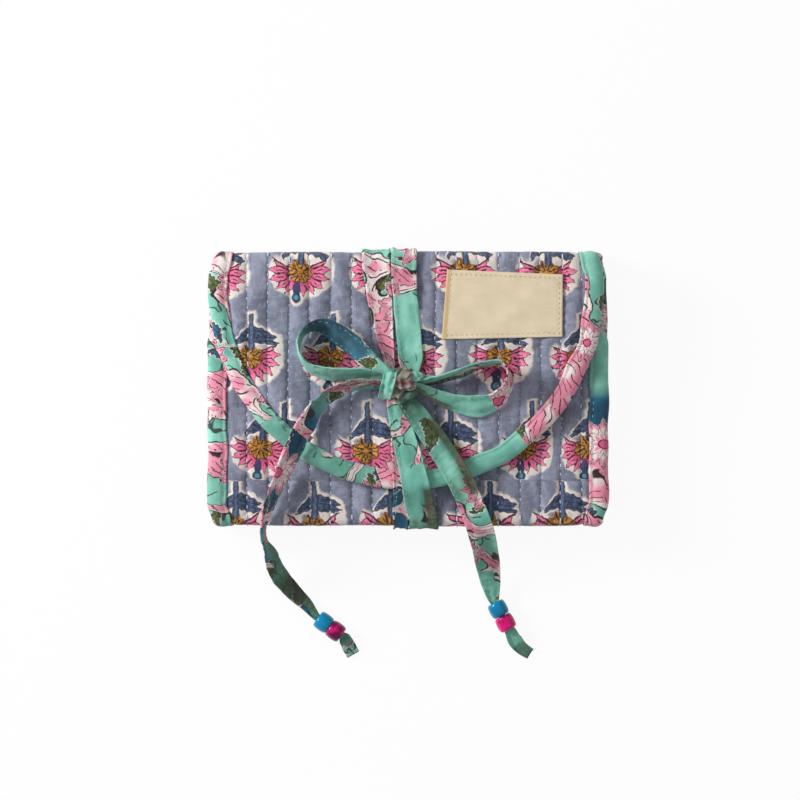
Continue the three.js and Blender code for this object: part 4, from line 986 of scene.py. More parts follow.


# The straps and bow loops. Their rows hold x, y, height, width and lean, close to the routes of the solids.
# An edge band holds the start and end of its stretch, its edge, then how it changes crowd, shade and painted shade. A
# print row's fourth number is painted shade
strips = {
    "strapUpperLeft": {
        "node": "strap_upper_left", "cut": (14, 6, 4),
        "print": [(0, 0.5, 0), (0.24, 0.7, 0), (0.34, 1.6, 0), (0.6, 1.5, 0.6), (1, 1.1, 0.8)],
        "rows": overFold(1, tieTurns[0])[::-1] + lying([
            (-15, 54, rest, 13.6), (-12.6, 34, rest, 10.5), (-9.8, 16, rest, 6), (-9, 10, rest + 1, 5),
            (-8.6, 4, rest + 1.6, 4.4)])},
    "strapUpperRight": {
        "node": "strap_upper_right", "cut": (60, 40, 0),
        "print": [(0, 0.5, 0), (0.2, 1.3, 0, 0.2), (0.36, 1.2, 0, 0.1), (0.42, 0.05, 0), (0.78, 0.1, 0),
                  (0.86, 0.5, 0, 0.15), (1, 0.4, 0, 0.4)],
        "rows": overFold(1, tieTurns[1])[::-1] + lying([
            (-1.9, 54, over, 12.6), (-0.3, 34, rest, 12.4), (1.2, 16, rest, 12.2), (1, 10, rest + 1, 10),
            (0.4, 4, rest + 1.6, 8)])},
    "strapLowerLeft": {
        "node": "strap_lower_left", "cut": (5, 30, 8),
        "print": [(0, 1.6, 0, 0.1), (0.3, 1.6, 0), (0.48, 1.2, 0.2, 0.2), (0.56, 0.4, 1, 0.1),
                  (1, 0.4, 1, 0.1)],
        "rows": lying([
            (-5.5, 0, rest + 1, 8), (-5, -6, rest + 0.6, 9), (-3.5, -20, rest, 11), (-1.6, -40, rest, 12),
            (-1.2, -49.5, rest + 0.3, 12), (-1.2, -53.5, rest + 0.7, 12), (-2.2, -58, rest + 0.1, 11),
        ]) + overFold(-1, tieTurns[0])},
    "strapLowerRight": {
        "node": "strap_lower_right", "cut": (30, 8, -12), "edges": (-1,),
        "hems": [(0.56, 0.8, 1, 0.2, 0, 1.2)],
        "print": [(0, 1.5, 0, 0.2), (0.17, 1.4, 0), (0.21, 0.5, 0, 0.2), (0.42, 0.44, 0, 0.1),
                  (0.47, 0.1, 0), (0.6, 0.12, 0), (0.68, 0.34, 0, 0.3), (0.76, 0.5, 0, 0.8),
                  (1, 0.3, 0, 0.6)],
        "rows": lying([
            (-6, 0, over + 1, 8), (-5.6, -6, over + 0.6, 10), (-3, -20, over, 11.4), (1.4, -37, over, 13),
            (4.2, -49.5, over + 0.4, 14), (5.2, -54, over + 1.3, 14.3), (6.2, -59, over + 0.7, 14.5),
        ]) + overFold(-1, tieTurns[1])},
    "bowLoopLeft": {
        "node": "bow_loop_left", "cut": (310, 52, 14), "cup": 0.5, "crumple": 0.45,
        "print": [(0, 0.34, 0, 0.3), (0.1, 0.34, 0, 0.1), (0.14, 0.36, 0.9, 0.1), (0.44, 0.36, 1, 0.4),
                  (0.5, 0.1, 0, 0.1), (0.86, 0.05, 0), (0.93, 0.34, 0, 0.2), (1, 0.3, 0, 0.7)],
        "rows": [[-9, 6.5, on(6, 6), 6, 150], [-15, 11, on(11, 6.6), 8, 150],
                 [-24, 18.5, on(18, 6.2), 12, 145], [-34, 26.5, on(26, 6), 12.8, 140],
                 [-43, 31, on(31, 6.4), 12.6, 125], [-51.5, 28.5, on(28, 6.6), 12.2, 105],
                 [-54.5, 20.5, on(20, 6.6), 12, 92], [-50.5, 12, on(12, 6.4), 12, 78],
                 [-41, 8, on(8, 6.2), 12, 64], [-30, 7.4, on(7, 5.8), 11.4, 60],
                 [-21, 7.6, on(7, 5.6), 9.6, 58], [-14, 6.4, on(6, 5.4), 7, 50], [-9, 5, on(5, 5.2), 5, 40]]},
    "bowLoopRight": {
        "node": "bow_loop_right", "cut": (140, 5, 0), "cup": 0.5, "crumple": 0.4,
        "hems": [(0.04, 0.34, -1, 0.3, 0, 1.1), (0.8, 0.98, -1, 0.2, 0, 1.2)],
        "print": [(0, 0.3, 0, 0.6), (0.1, 0.34, 0, 0.2), (0.2, 0.34, 0, 0.3), (0.36, 0.5, 0.2),
                  (0.44, 1.1, 0), (0.58, 1.1, 0), (0.64, 0.1, 0), (0.8, 0.2, 0, 0.1), (0.88, 0.34, 0, 0.3),
                  (0.95, 0.3, 0, 0.8), (1, 0.4, 0, 1)],
        "rows": [[2, 3.4, on(3, 5), 5, 50], [9, 3.6, on(3, 5.6), 7, 60], [17, 5.4, on(5, 6), 10, 64],
                 [28, 9, on(9, 6.3), 11.6, 68], [38, 12.4, on(12, 6.4), 12, 72],
                 [45.5, 13.2, on(13, 6.6), 12, 80], [49.6, 9, on(9, 6.6), 12, 92],
                 [49.6, 1.5, on(1, 6.2), 12, 112], [44, -5.6, on(-5, 5), 12.4, 138],
                 [34, -8.8, on(-8, 4.4), 12.6, 152], [24, -7.2, on(-7, 5), 11, 150],
                 [15, -4, on(-4, 6.4), 8, 145], [8, -0.6, on(0, 7), 6, 145], [2, 1.4, on(1, 7.4), 5, 150]]},
}
# The tails, as the strips above: a print row's fourth number and most edge bands are painted shade
tails = {
    "tailLeft": {
        "node": "tail_left", "cut": (200, 30, 0), "cup": 0.4, "crumple": 0.45, "curl": (1.4, 0.3),
        "sewn": 0.6,
        "hems": [(0.02, 0.17, 1, 0.8, 0, 0.5), (0.58, 0.68, 1, 0.3, 0.9, -0.9), (0.79, 0.86, 1, 0, 1.2, -1)],
        "print": [(0, 0.3, 0, 0.3), (0.1, 0.3, 0, 0.3), (0.16, 0.8, 0, 0.3), (0.24, 0.8, 1, 0),
                  (0.53, 0.85, 1, 0), (0.56, 1.1, 0.4, 0), (0.59, 1.1, 0, 0.3), (0.62, 0.34, 0, 0.8),
                  (0.71, 0.34, 0, 0.8), (0.75, 0.34, 0, 1.3), (0.83, 0.4, 0, 1.2), (0.86, 0.34, 0, 0.9),
                  (0.95, 0.34, 0, 0.9), (0.97, 0.5, 0, 0.4), (1, 0.34, 0, 0.2)],
        "rows": [[-8, 1.6, on(2, 4.6), 5, 130], [-15, 1.8, on(2, 5.2), 8, 122],
                 [-24, 2, on(2, 6), 10.6, 120], [-34.5, -1.4, on(-1, 6.6), 11.6, 122],
                 [-43.4, -7.6, on(-7, 6.6), 11.8, 130], [-50.2, -18, on(-18, 5.8), 12, 148],
                 [-57, -31.3, on(-31, 5.6), 12, 146], [-62.7, -44.3, 34.4, 11.6, 130],
                 [-68.2, -56.7, 33.6, 11.2, 122], [-71.2, -67.7, 31.6, 9.6, 110],
                 [-71.2, -75.5, 25.5, 9.6, 106], [-68.4, -83.6, 17, 11, 132],
                 [-64.4, -92.8, 9.8, 11.6, 142], [-57.4, -101.2, 5.8, 9, 154], [-50.8, -108, 4.6, 6.8, 166],
                 [-45.5, -114.6, 4.7, 3.8, 180], [-42.3, -117, 4.7, 3.4, 180],
                 [-36.3, -121.4, 4.7, 3.4, 180], [-33.2, -123.7, 4.6, 3.4, 180],
                 [-31.6, -125.8, 3.2, 6.4, 180], [-29.6, -129.4, 1.7, 7.2, 180],
                 [-27.4, -133.3, 1.1, 6.6, 180]]},
    "tailRight": {
        "node": "tail_right", "cut": (260, 12, 0), "cup": 0.5, "crumple": 0.45, "curl": (0.3, 1.1),
        "sewn": 0.7, "edges": (-1,), "hems": [(0.13, 0.4, 1, 0.3, 0, 1.1), (0.7, 0.8, 1, 0.5, 0, 0.4)],
        "print": [(0, 0.3, 0, 1), (0.08, 0.34, 0, 0.9), (0.14, 0.1, 0, 0.3), (0.28, 0.1, 0, 0.1),
                  (0.36, 0.34, 0, 0.5), (0.41, 1.4, 0, 0.1), (0.56, 1.3, 0, 0.3), (0.66, 0.6, 0, 0.5),
                  (0.7, 0.2, 0, 0.2), (0.84, 0.1, 0, 0.3), (0.94, 0.1, 0, 0.1), (0.955, 0.35, 0, 0.9),
                  (1, 0.35, 0.3, 1)],
        "rows": [[-5, -1, on(-1, 4.6), 6, 0], [-1, -6.4, on(-6, 4.2), 9, 0],
                 [4, -12.6, on(-12, 3.8), 11, 0], [10.4, -21, on(-21, 3.2), 12, 0],
                 [18.4, -32.8, on(-32, 2.4), 12.4, 0], [25.4, -44.5, on(-44, 2.2), 12.8, 0],
                 [31.2, -57, 29.6, 13, 0], [35.2, -67.5, 28.9, 13, 0], [37.6, -76, 23.6, 13, 0],
                 [39.6, -86, 14, 12.6, 0], [41.4, -97, 6, 10, 0], [42.8, -104.8, 4.9, 6, 0],
                 [43.8, -107.6, 4.7, 4, 0], [45.3, -110.4, 4.7, 3.4, 0], [49, -117.2, 4.7, 3.4, 0],
                 [51, -120.8, 4.2, 5.8, 0], [53.6, -126, 2, 7.6, 0], [56.8, -129.8, 1.4, 6.6, 0],
                 [61.4, -132.9, 1.1, 5.8, 0]]},
}
edgeSewing = {"pitch": 3.0, "inset": 1.5, "thread": (1.7, 0.13), "narrowest": 8, "fromEnd": 4}


# Stitches along a strip's edges, on both of its faces
def edgeStitches(name, kit, route, stations, facts):
    place, along, across, up, lift = facts
    rows, fromEnd = [], edgeSewing["fromEnd"]
    for at in np.arange(fromEnd, stations[-1] * kit["sewn"] - fromEnd, edgeSewing["pitch"]):
        k = int(np.searchsorted(stations, at))
        if route[k, 3] < edgeSewing["narrowest"]:
            continue
        for edge in kit["edges"]:
            middle = place[k] + across[k] * edge * (route[k, 3] / 2 - edgeSewing["inset"])
            middle = middle + up[k] * np.interp(edge * 0.8, stripShare, lift[k, :len(stripShare)])
            rows += [(middle + up[k] * face * 0.3, along[k], up[k] * face) for face in (1, -1)]
    if rows:
        stitchPiece(name, zip(*rows), edgeSewing["thread"], "mintThread", "flap", "tie_cotton")


# The beads: short barrels with rounded rims, threaded on the tails
bead = {
    "radius": 4.68, "bore": 2.12, "length": 7.44, "height": 4.75, "bulge": 0.09, "rim": 0.12, "lip": 0.6,
    "sides": 48, "leftWay": (6, -4.4), "rightWay": (3.7, -6.8),
}
beadsAt = {
    "beadLeftUpper": ("bead_left_upper", (-42.3, -117), bead["leftWay"], "blue"),
    "beadLeftLower": ("bead_left_lower", (-36.3, -121.4), bead["leftWay"], "magenta"),
    "beadRightUpper": ("bead_right_upper", (45.3, -110.4), bead["rightWay"], "blue"),
    "beadRightLower": ("bead_right_lower", (49, -117.2), bead["rightWay"], "magenta"),
}


def beadPiece(name):
    node, centre, way, colour = beadsAt[name]
    half, radius, bore, sides = bead["length"] / 2, bead["radius"], bead["bore"], bead["sides"]
    along = np.sin(np.linspace(-math.pi / 2, math.pi / 2, 25))
    profile = [(-half, bore + bead["lip"])]
    profile += [(half * k, radius * (1 - bead["bulge"] * k ** 2 - bead["rim"] * k ** 8)) for k in along]
    profile += [(half, bore + bead["lip"]), (half * 0.97, bore + 0.1), (half * 0.7, bore), (0, bore)]
    profile += [(-half * 0.7, bore), (-half * 0.97, bore + 0.1)]
    profile = np.array(profile)
    axis = unit(np.array([*way, 0.0]))
    side, up = np.array([-axis[1], axis[0], 0]), np.array([0, 0, 1.0])
    turns = np.arange(sides) * 2 * math.pi / sides
    spoke = side * np.cos(turns)[:, None] + up * np.sin(turns)[:, None]
    loops = np.array([*centre, bead["height"]]) + axis * profile[:, :1, None] + spoke * profile[:, 1:, None]
    uv = np.zeros((sides, len(profile) + 1, 2))
    uv[..., 0], uv[..., 1] = np.arange(sides)[:, None] * 0.6, np.arange(len(profile) + 1) * 0.4
    piece = tubePiece(name, loops.swapaxes(0, 1), uv, [cloths[colour]], closed=True)
    return fitPiece(piece, "flap", node, "bead_blue" if colour == "blue" else "bead_pink")


beads = {name: beadPiece(name) for name in beadsAt}
for count, (name, kit) in enumerate(tails.items()):
    piece, kit, route, stations, facts = stripPiece(name, kit, "flap", 40 + count)
    held = [beads[b] for b in beads if name.replace("tail", "bead") in b]
    path = (route[:, :3] * metres).tolist()
    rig.cord(piece, exit=path[0], length=float(stations[-1]) * metres, diameter=0.013, far_end="bare",
            stiffness="limp", lay="hanging", path=path, with_pieces=held)
    edgeStitches(name + "Stitches", kit, route, stations, facts)
    print(name, "is", round(float(stations[-1]), 1), "mm long")
for count, (name, kit) in enumerate(strips.items()):
    piece, *facts = stripPiece(name, kit, "flap", 60 + count)
    edgeStitches(name + "Stitches", *facts)
print("tie strips:", len(strips) + len(tails))


# The tie's two turns behind the pack, from the bottom fold round to the top one
tieBack = {
    "tieBackLeft": {"node": "tie_back_left", "turn": tieTurns[0], "cut": (310, 4, 2)},
    "tieBackRight": {"node": "tie_back_right", "turn": tieTurns[1], "cut": (350, 9, -3)},
}
tieBackCloth = {
    "print": [(0, 0.4, 0), (0.3, 0.8, 0.1), (0.7, 0.6, 0), (1, 0.9, 0.1)],
    "cup": 0.0, "crumple": 0.05, "crease": 0.0,
}
bottomCorner = {"y": 61.4, "z": 7.0, "radius": 4.8}  # the middle plane's corner at both bottom folds


def tieAt(turn, y):  # its place and width under the pack
    share = np.clip((y + bottomCorner["y"]) / (2 * bottomCorner["y"]), 0, 1)
    return [mixed(low, high, share) for low, high in zip(turn["low"], turn["high"])]


def tieBackRows(turn):
    out, flat, corner, under = outside(turn), bottomCorner["y"], bottomCorner["z"], 0.5
    wide, deep = out - flat, corner - under
    bend = [(flat + wide * math.cos(a), corner - deep * math.sin(a)) for a in (1.2, 0.8, 0.4)]
    points = [(-out, 7.8), (-out, corner)] + [(-y, z) for y, z in bend[::-1]]
    points += [(y, under) for y in (-flat, -40, -20, 0, 20, 40, flat)] + bend
    points += [(out, corner), (out, 18), (out, hingeZ - 3.7)]
    rows = []
    for y, z in points:
        x, width = tieAt(turn, y)
        rows.append([x, y, z, width, 0])
    return rows


for count, (name, kit) in enumerate(tieBack.items()):
    stripPiece(name, {**kit, **tieBackCloth, "rows": tieBackRows(kit["turn"])}, "back", 80 + count)


# The panels' middle plane: flat, round a corner, then down a fold. On the flat, s is the distance from the
# middle. Side 1 is the flap's, -1 the front panel's and 0 the back panel's
folds = {1: {"z": 29.71, "slope": flapSlope}, -1: {"z": 22.2, "slope": 0.0}}
foldCorner = {"y": 64.0, "radius": 2.2}


def cornerLength(side):
    return foldCorner["radius"] * (math.pi / 2 + math.atan(folds[side]["slope"]))


def foldStart(side):  # the s at which a fold meets the bottom corner
    return foldCorner["y"] + cornerLength(side) + folds[side]["z"] - bottomCorner["z"]


def shell(side, s):  # y and z of the middle plane, and of its outward normal
    fold, radius = folds[side], foldCorner["radius"]
    tilt = math.atan(fold["slope"])
    bend = cornerLength(side)
    angle = np.clip((foldCorner["y"] + bend - s) / radius, 0, bend / radius)
    flat, down = np.minimum(s - foldCorner["y"], 0), np.maximum(s - foldCorner["y"] - bend, 0)
    y = foldCorner["y"] + radius * np.cos(angle) + flat * math.cos(tilt)
    z = fold["z"] + radius * np.sin(angle) + flat * math.sin(tilt) - down
    return side * y, z, side * np.cos(angle), np.sin(angle)


def underside(s):
    flat, corner, radius = bottomCorner["y"], bottomCorner["z"], bottomCorner["radius"]
    angle = np.clip((np.abs(s) - flat) / radius, 0, math.pi / 2)
    y = np.sign(s) * (np.minimum(np.abs(s), flat) + radius * np.sin(angle))
    return y, corner - radius * np.cos(angle), np.sign(s) * np.sin(angle), -np.cos(angle)


def panelPoints(side, x, s, height):
    y, z, ny, nz = shell(side, s) if side else underside(s)
    return np.stack([x, y + ny * height, z + nz * height], -1)


def halfAt(s):  # the pack's rounded outline, half its width
    return halfWidth - 2.6 * smoothStep(np.abs(s), 57, 67.5)


# The height of the quilted cloth over the panel's middle plane
def seamAt(k, s, seed):
    wander = quilting["wander"] * ripple(s + 40 * k, 13 * k, 70, seed)
    return quilting["offset"] + k * quilting["pitch"] + wander


def quiltHeight(x, s, edge, seed, kit=quilting):
    k = np.round((x - kit["offset"]) / kit["pitch"])
    near = np.abs(x - seamAt(k, s, seed)) / (kit["pitch"] / 2)
    near = np.clip(near, 0, 1)
    dome = (1 - (1 - near) ** 2) ** kit["dome"]
    pull = np.exp(-(near / 0.5) ** 2)
    height = kit["seam"] + (kit["crown"] - kit["seam"]) * dome
    height = height + kit["pucker"] * pull * np.sin(2 * math.pi * (s / kit["stitch"] + kit["stagger"] * k))
    height = height + kit["wrinkle"] * ripple(x * 1.6, s, 9, seed + 1) * (1 - 0.5 * near)
    height = height + 0.09 * ripple(x * 1.3, s * 1.8, 5, seed + 3) + 0.12 * ripple(x, s, 34, seed + 2)
    stretched = smoothStep(np.abs(s), *kit["tight"])  # the rows hardly show round the folds
    height = mixed(height, kit["onFold"] + (height - kit["onFold"]) * kit["foldRelief"], stretched)
    height = height - stretched * (0.8 * np.abs(x / 97) ** 5 + 0.3 * ripple(x, s * 0, 80, 5))
    return mixed(kit["tucked"], height, smoothStep(edge, *kit["fullFrom"]))


flapShape = {"half": 98.5, "shift": -1.0, "straight": 50.0, "drop": 100.0}
frontShape = {"freeEdge": 33.0, "corner": 11.0}
backReach = bottomCorner["y"] + bottomCorner["radius"] * math.pi / 2


# How far a place lies inside each panel's edge
def flapEdge(x, s):
    x = x - flapShape["shift"]
    taper = halfWidth - halfAt(s)
    straight = flapShape["half"] - taper - np.abs(x)
    arc = np.hypot(x / flapShape["half"], (flapShape["straight"] - s) / flapShape["drop"])
    return np.where(s > flapShape["straight"], straight, flapShape["half"] * (1 - arc))


def frontEdge(x, s):
    return np.minimum(halfAt(s) - np.abs(x), frontShape["freeEdge"] + s)


def backEdge(x, s):
    return halfAt(np.abs(s) + 2) - np.abs(x)


# Which seam is nearest, how far along it the stitches are, and where the cloth is quilted
def markSeams(piece, x, s, edge, seed):
    k = np.round((x - quilting["offset"]) / quilting["pitch"])
    k = k - (x < seamAt(k, s, seed))
    low, high = seamAt(k, s, seed), seamAt(k + 1, s, seed)
    sewn = smoothStep(edge, *quilting["sewnFrom"])
    values = np.stack([k + (x - low) / (high - low), s / quilting["stitch"], sewn], -1).reshape(-1, 3)
    markPoints(piece, "seam", np.concatenate([values, values * 0]))


def pressedFlat(x, s, height):  # by the tie's strips, under the pack
    for turn in tieTurns:
        centre, width = tieAt(turn, underside(s)[0])
        pressed = 1 - smoothStep(np.abs(x - centre), width / 2 + 0.5, width / 2 + 2.5)
        pressed = pressed * (1 - smoothStep(np.abs(s), 60, 66))
        height = np.minimum(height, mixed(height, np.minimum(height, 1.0), pressed))
    return height


def coverPiece(name, node, side, grid, edgeAt, clothAt, body):
    (x, s), seed = grid, seeds[side]
    edge = edgeAt(x, s)
    height = quiltHeight(x, s, edge, seed)
    under = quilting["padding"]
    if side < 0:
        cross = np.exp(-((-s - quilting["crossLine"]) / 1.8) ** 2)
        height = height - quilting["crossDepth"] * cross * smoothStep(edge, 9, 13)
    if side:
        under = mixed(quilting["hem"], under, smoothStep(edge, *quilting["sewnFrom"]))
    else:
        height = pressedFlat(x, s, height)
    top, bottom = panelPoints(side, x, s, height), panelPoints(side, x, s, -under)
    piece = slabPiece(name, top, bottom, clothAt(x, s), [cloths["quilt"], cloths["lining"]])
    markSeams(piece, x, s, edge, seed)
    fitPiece(piece, body, node, "quilted_cotton")


# Cloth that crosses a fold: its two bodies, and the points between which it passes from one to the other
flapBlend = ("flap", "back", (0, 0.0655, 0.0343), (0, 0.0685, 0.030))
frontBlend = ("back", "front", (0, -0.0685, 0.0225), (0, -0.0655, 0.0267))


# The flap's rows run straight down the fold, then curve with its edge
def flapGrid(inset, top, step=(0.9, 1.0)):
    half = flapShape["half"] - inset
    columns = np.linspace(-0.9975, 0.9975, int(2 * half / step[0]))
    rowsFold = np.linspace(top, flapShape["straight"], int((top - flapShape["straight"]) / step[1]) + 1)
    share = np.linspace(0, 1, int(flapShape["drop"] / step[1]))[1:]
    sFold = np.repeat(rowsFold[:, None], len(columns), 1)
    xFold = columns * (half - (halfWidth - halfAt(sFold)))
    xFlat = np.repeat((columns * half)[None], len(share), 0)
    reachDown = (flapShape["drop"] - inset) * np.sqrt(1 - columns ** 2)
    sFlat = flapShape["straight"] - reachDown * share[:, None]
    return np.concatenate([xFold, xFlat]) + flapShape["shift"], np.concatenate([sFold, sFlat])


def frontGrid(inset, top, step=(0.9, 1.0)):
    columns = np.linspace(-1, 1, int(2 * (halfWidth - inset) / step[0]))
    rows = np.linspace(top, -(frontShape["freeEdge"] - inset), int((top + 27) / step[1]))
    s = np.repeat(rows[:, None], len(columns), 1)
    x = columns * (halfAt(s) - inset)
    corner = max(frontShape["corner"] - inset, 1)
    past = np.clip(np.abs(x) - (halfWidth - inset - corner), 0, corner)
    lowered = corner - np.sqrt(np.maximum(corner ** 2 - past ** 2, 0))
    return x, s + lowered * smoothStep(-s, 10, frontShape["freeEdge"] - inset)


def backGrid(inset, rows, columns):
    s = np.repeat(np.linspace(-backReach, backReach, rows)[:, None], columns, 1)
    return np.linspace(-1, 1, columns) * (halfAt(np.abs(s) + 2) - inset), s


# Where each panel's cloth was cut from the print, so that the rows of blooms fall as in the photograph
def flapCloth(x, s):
    along = np.interp(s, [-60, -31.6, 16.4, 57.7, 110], [-73.4, -45, 0.3, 45.6, 97.9])
    return np.stack([x + 37.8, along], -1)


def frontCloth(x, s):
    upper = np.interp(x, [-58, 44, 70, 79], [7.2, 0, 0, 8.9])
    lower = np.interp(x, [-70, -62, -28, -24, 20, 30, 54, 62], [-3.1, -0.7, -0.7, 1.7, 1.7, -6.4, -6.4, -1])
    change = smoothStep(s, 44.9, 45.9)
    return np.stack([x - 58.2 + mixed(upper, lower, change), -s - 6.4 * change + 29.4], -1)


def backCloth(x, s):
    return np.stack([x + 20, s + 7], -1)


seeds = {1: 11, -1: 12, 0: 13}  # of each side's unevenness, which its lining and stitches follow
coverInset = 6
coverPiece("quiltFlap", "cover_flap", 1, flapGrid(coverInset, foldStart(1)), flapEdge, flapCloth, flapBlend)
coverPiece("quiltFront", "cover_front", -1, frontGrid(coverInset, foldStart(-1)), frontEdge, frontCloth,
           frontBlend)
coverPiece("quiltBack", "cover_back", 0, backGrid(coverInset, 138, 210), backEdge, backCloth, "back")
print("covers")


# Linings: one more quilted layer inside each cover
lining = {
    "inset": 9.7, "outer": 1.45, "inner": 1.75, "relief": 0.22, "steps": {1: (2.2, 1.2), -1: (2.2, 2.4)},
}


def liningPiece(name, node, side, grid, edgeAt, body):
    x, s = grid
    dip = (quiltHeight(x, s, edgeAt(x, s), seeds[side]) - quilting["seam"]) * lining["relief"]
    inner = panelPoints(side, x, s, -(lining["inner"] + dip))
    outer = panelPoints(side, x, s, np.full(x.shape, -lining["outer"]))
    piece = slabPiece(name, inner, outer, np.stack([x, s], -1), [cloths["lining"]])
    fitPiece(piece, body, node, "lining_cotton")


flapLining = flapGrid(lining["inset"], foldStart(1) - 2, lining["steps"][1])
frontLining = frontGrid(lining["inset"], foldStart(-1) - 2, lining["steps"][-1])
liningPiece("liningFlap", "lining_flap", 1, flapLining, flapEdge, flapBlend)
liningPiece("liningFront", "lining_front", -1, frontLining, frontEdge, frontBlend)
liningPiece("liningBack", "lining_back", 0, backGrid(lining["inset"], 60, 90), backEdge, "back")


# Quilting stitches: a thread for each stitch, along every seam that shows
def quiltStitches(name, side, edgeAt, sRange, body):
    pitch = quilting["stitch"]

    def place(x, s):
        height = float(quiltHeight(np.array(x), np.array(s), edgeAt(x, s), seeds[side]))
        height = height + quilting["stitchLift"]
        y, z, ny, nz = shell(side, np.array(s))
        return (x, float(y + ny * height), float(z + nz * height)), (0, float(ny), float(nz))

    rows = []
    for k in range(-10, 10):
        start = -pitch * quilting["stagger"] * k
        for s in np.arange(*sRange, pitch):
            s = round((s - start) / pitch) * pitch + start + pitch * 0.75
            x = seamAt(k, s, seeds[side])
            if edgeAt(x, s) < 11 or not sRange[0] < s < sRange[1]:
                continue
            here, there = place(x, s), place(x, s + 0.5)
            rows.append((here[0], np.array(there[0]) - np.array(here[0]), here[1]))
    stitchPiece(name, zip(*rows), quilting["thread"], "thread", body, "quilted_cotton")


quiltStitches("flapStitches", 1, flapEdge, (-50, foldStart(1) - 1), flapBlend)
quiltStitches("frontStitches", -1, frontEdge, (-22, foldStart(-1) - 1), frontBlend)
print("linings and quilting stitches")


# Bias binding: one folded strip swept round each edge, with a row of stitches along its inner side.
# Its section is rows of how far in from the edge, and how high over the panel's middle plane
bindingShape = {
    "outer": [(9.5, 1.3), (9.65, 1.75), (9.3, 2.1), (8.6, 2.2), (8.0, 1.8), (7.4, 2.2), (5.8, 2.5),
              (3.8, 2.45), (2.0, 2.05), (0.7, 1.25), (0.0, 0.0), (0.7, -1.25), (2.0, -1.95), (3.8, -2.15),
              (6.4, -2.15), (9.3, -2.05), (9.6, -1.6)],
    "inner": [(9.0, -1.3), (5.5, -1.25), (2.6, -1.05), (1.6, 0), (2.6, 1.05), (5.5, 1.25), (9.0, 1.2)],
    "step": 1.1, "waver": (0.35, 26), "stitch": 3.2, "stitchInset": 8.0, "stitchTop": 1.86,
    "thread": (1.7, 0.13), "swell": (0.05, 16), "pucker": 0.05, "wrinkle": (0.07, 7), "wideWave": (0.035, 22),
}


def edgeFrames(points, normals):  # the ways along the edge, in from it and up from the cloth
    along = unit(np.gradient(points, axis=0))
    normals = unit(normals - along * np.sum(normals * along, axis=1, keepdims=True))
    return along, np.cross(normals, along), normals


def bindingPiece(name, node, points, normals, cut, seed, body, printAndShade):
    kit, length = bindingShape, runLength(points)
    stations = np.linspace(0, length[-1], int(length[-1] / kit["step"]))
    points = spaced(stations, length, points)
    along, inward, normals = edgeFrames(points, unit(spaced(stations, length, normals)))
    waver, swells, wrinkle, wider = (kit[key] for key in ("waver", "swell", "wrinkle", "wideWave"))
    points = points - inward * (waver[0] * ripple(stations, stations * 0, waver[1], seed + 4))[:, None]
    inset, height = np.array(kit["outer"] + kit["inner"]).T
    s = stations[:, None]
    swell = 1 + swells[0] * ripple(s, inset * 2, swells[1], seed)
    swell = swell + kit["pucker"] * np.sin(s * 2 * math.pi / kit["stitch"]) * (inset > 6)
    swell = swell + wrinkle[0] * ripple(s + inset * 1.4, inset, wrinkle[1], seed + 1) * (np.abs(height) > 1.4)
    wide = 1 + wider[0] * ripple(s, s * 0, wider[1], seed + 2) * (inset > 5)
    loops = points[:, None] + inward[:, None] * (inset * wide)[..., None]
    loops = loops + normals[:, None] * (height * swell)[..., None]
    across = np.append(np.where(height >= 0, inset, -inset), inset[0])
    uv = np.stack(clothPlace(across[None] + 0 * s, s + 0 * across, cut), -1)
    piece = tubePiece(name, loops, uv, [cloths["binding"]])
    markPoints(piece, "cut", np.repeat(printAlong(stations / stations[-1], printAndShade), len(inset), axis=0))
    fitPiece(piece, body, node, "bias_binding")
    at = np.searchsorted(stations, np.arange(2, stations[-1] - 2, kit["stitch"]))
    centres = points[at] + inward[at] * kit["stitchInset"] + normals[at] * kit["stitchTop"]
    rows = centres, along[at], normals[at]
    stitchPiece(name + "Stitches", rows, kit["thread"], "mintThread", body, "bias_binding")


def shellEdge(side, x, s):
    y, z, ny, nz = shell(side, s) if side else underside(s)
    return np.stack([x, y, z], 1), np.stack([0 * x, ny, nz], 1)


def flapOutline():
    s = np.arange(foldStart(1), flapShape["straight"], -0.5)
    x = flapShape["half"] - (halfWidth - halfAt(s))
    t = np.linspace(0, math.pi, 500)
    allX = np.concatenate([-x, -flapShape["half"] * np.cos(t), x[::-1]]) + flapShape["shift"]
    return allX, np.concatenate([s, flapShape["straight"] - flapShape["drop"] * np.sin(t), s[::-1]])


def frontOutline():
    corner, free = frontShape["corner"], frontShape["freeEdge"]
    s = np.arange(foldStart(-1), -(free - corner), -0.5)
    x = halfAt(s)
    t = np.linspace(0, math.pi / 2, 30)
    cornerX, cornerS = halfWidth - corner + corner * np.cos(t), -(free - corner) - corner * np.sin(t)
    line = np.linspace(halfWidth - corner, -(halfWidth - corner), 300)[1:-1]
    return (np.concatenate([x, cornerX, line, -cornerX[::-1], -x[::-1]]),
            np.concatenate([s, cornerS, np.full(len(line), -free), cornerS[::-1], s[::-1]]))


def backOutline(side):
    s = np.linspace(-backReach, backReach, 400)[::-side]
    return side * halfAt(np.abs(s) + 2), s
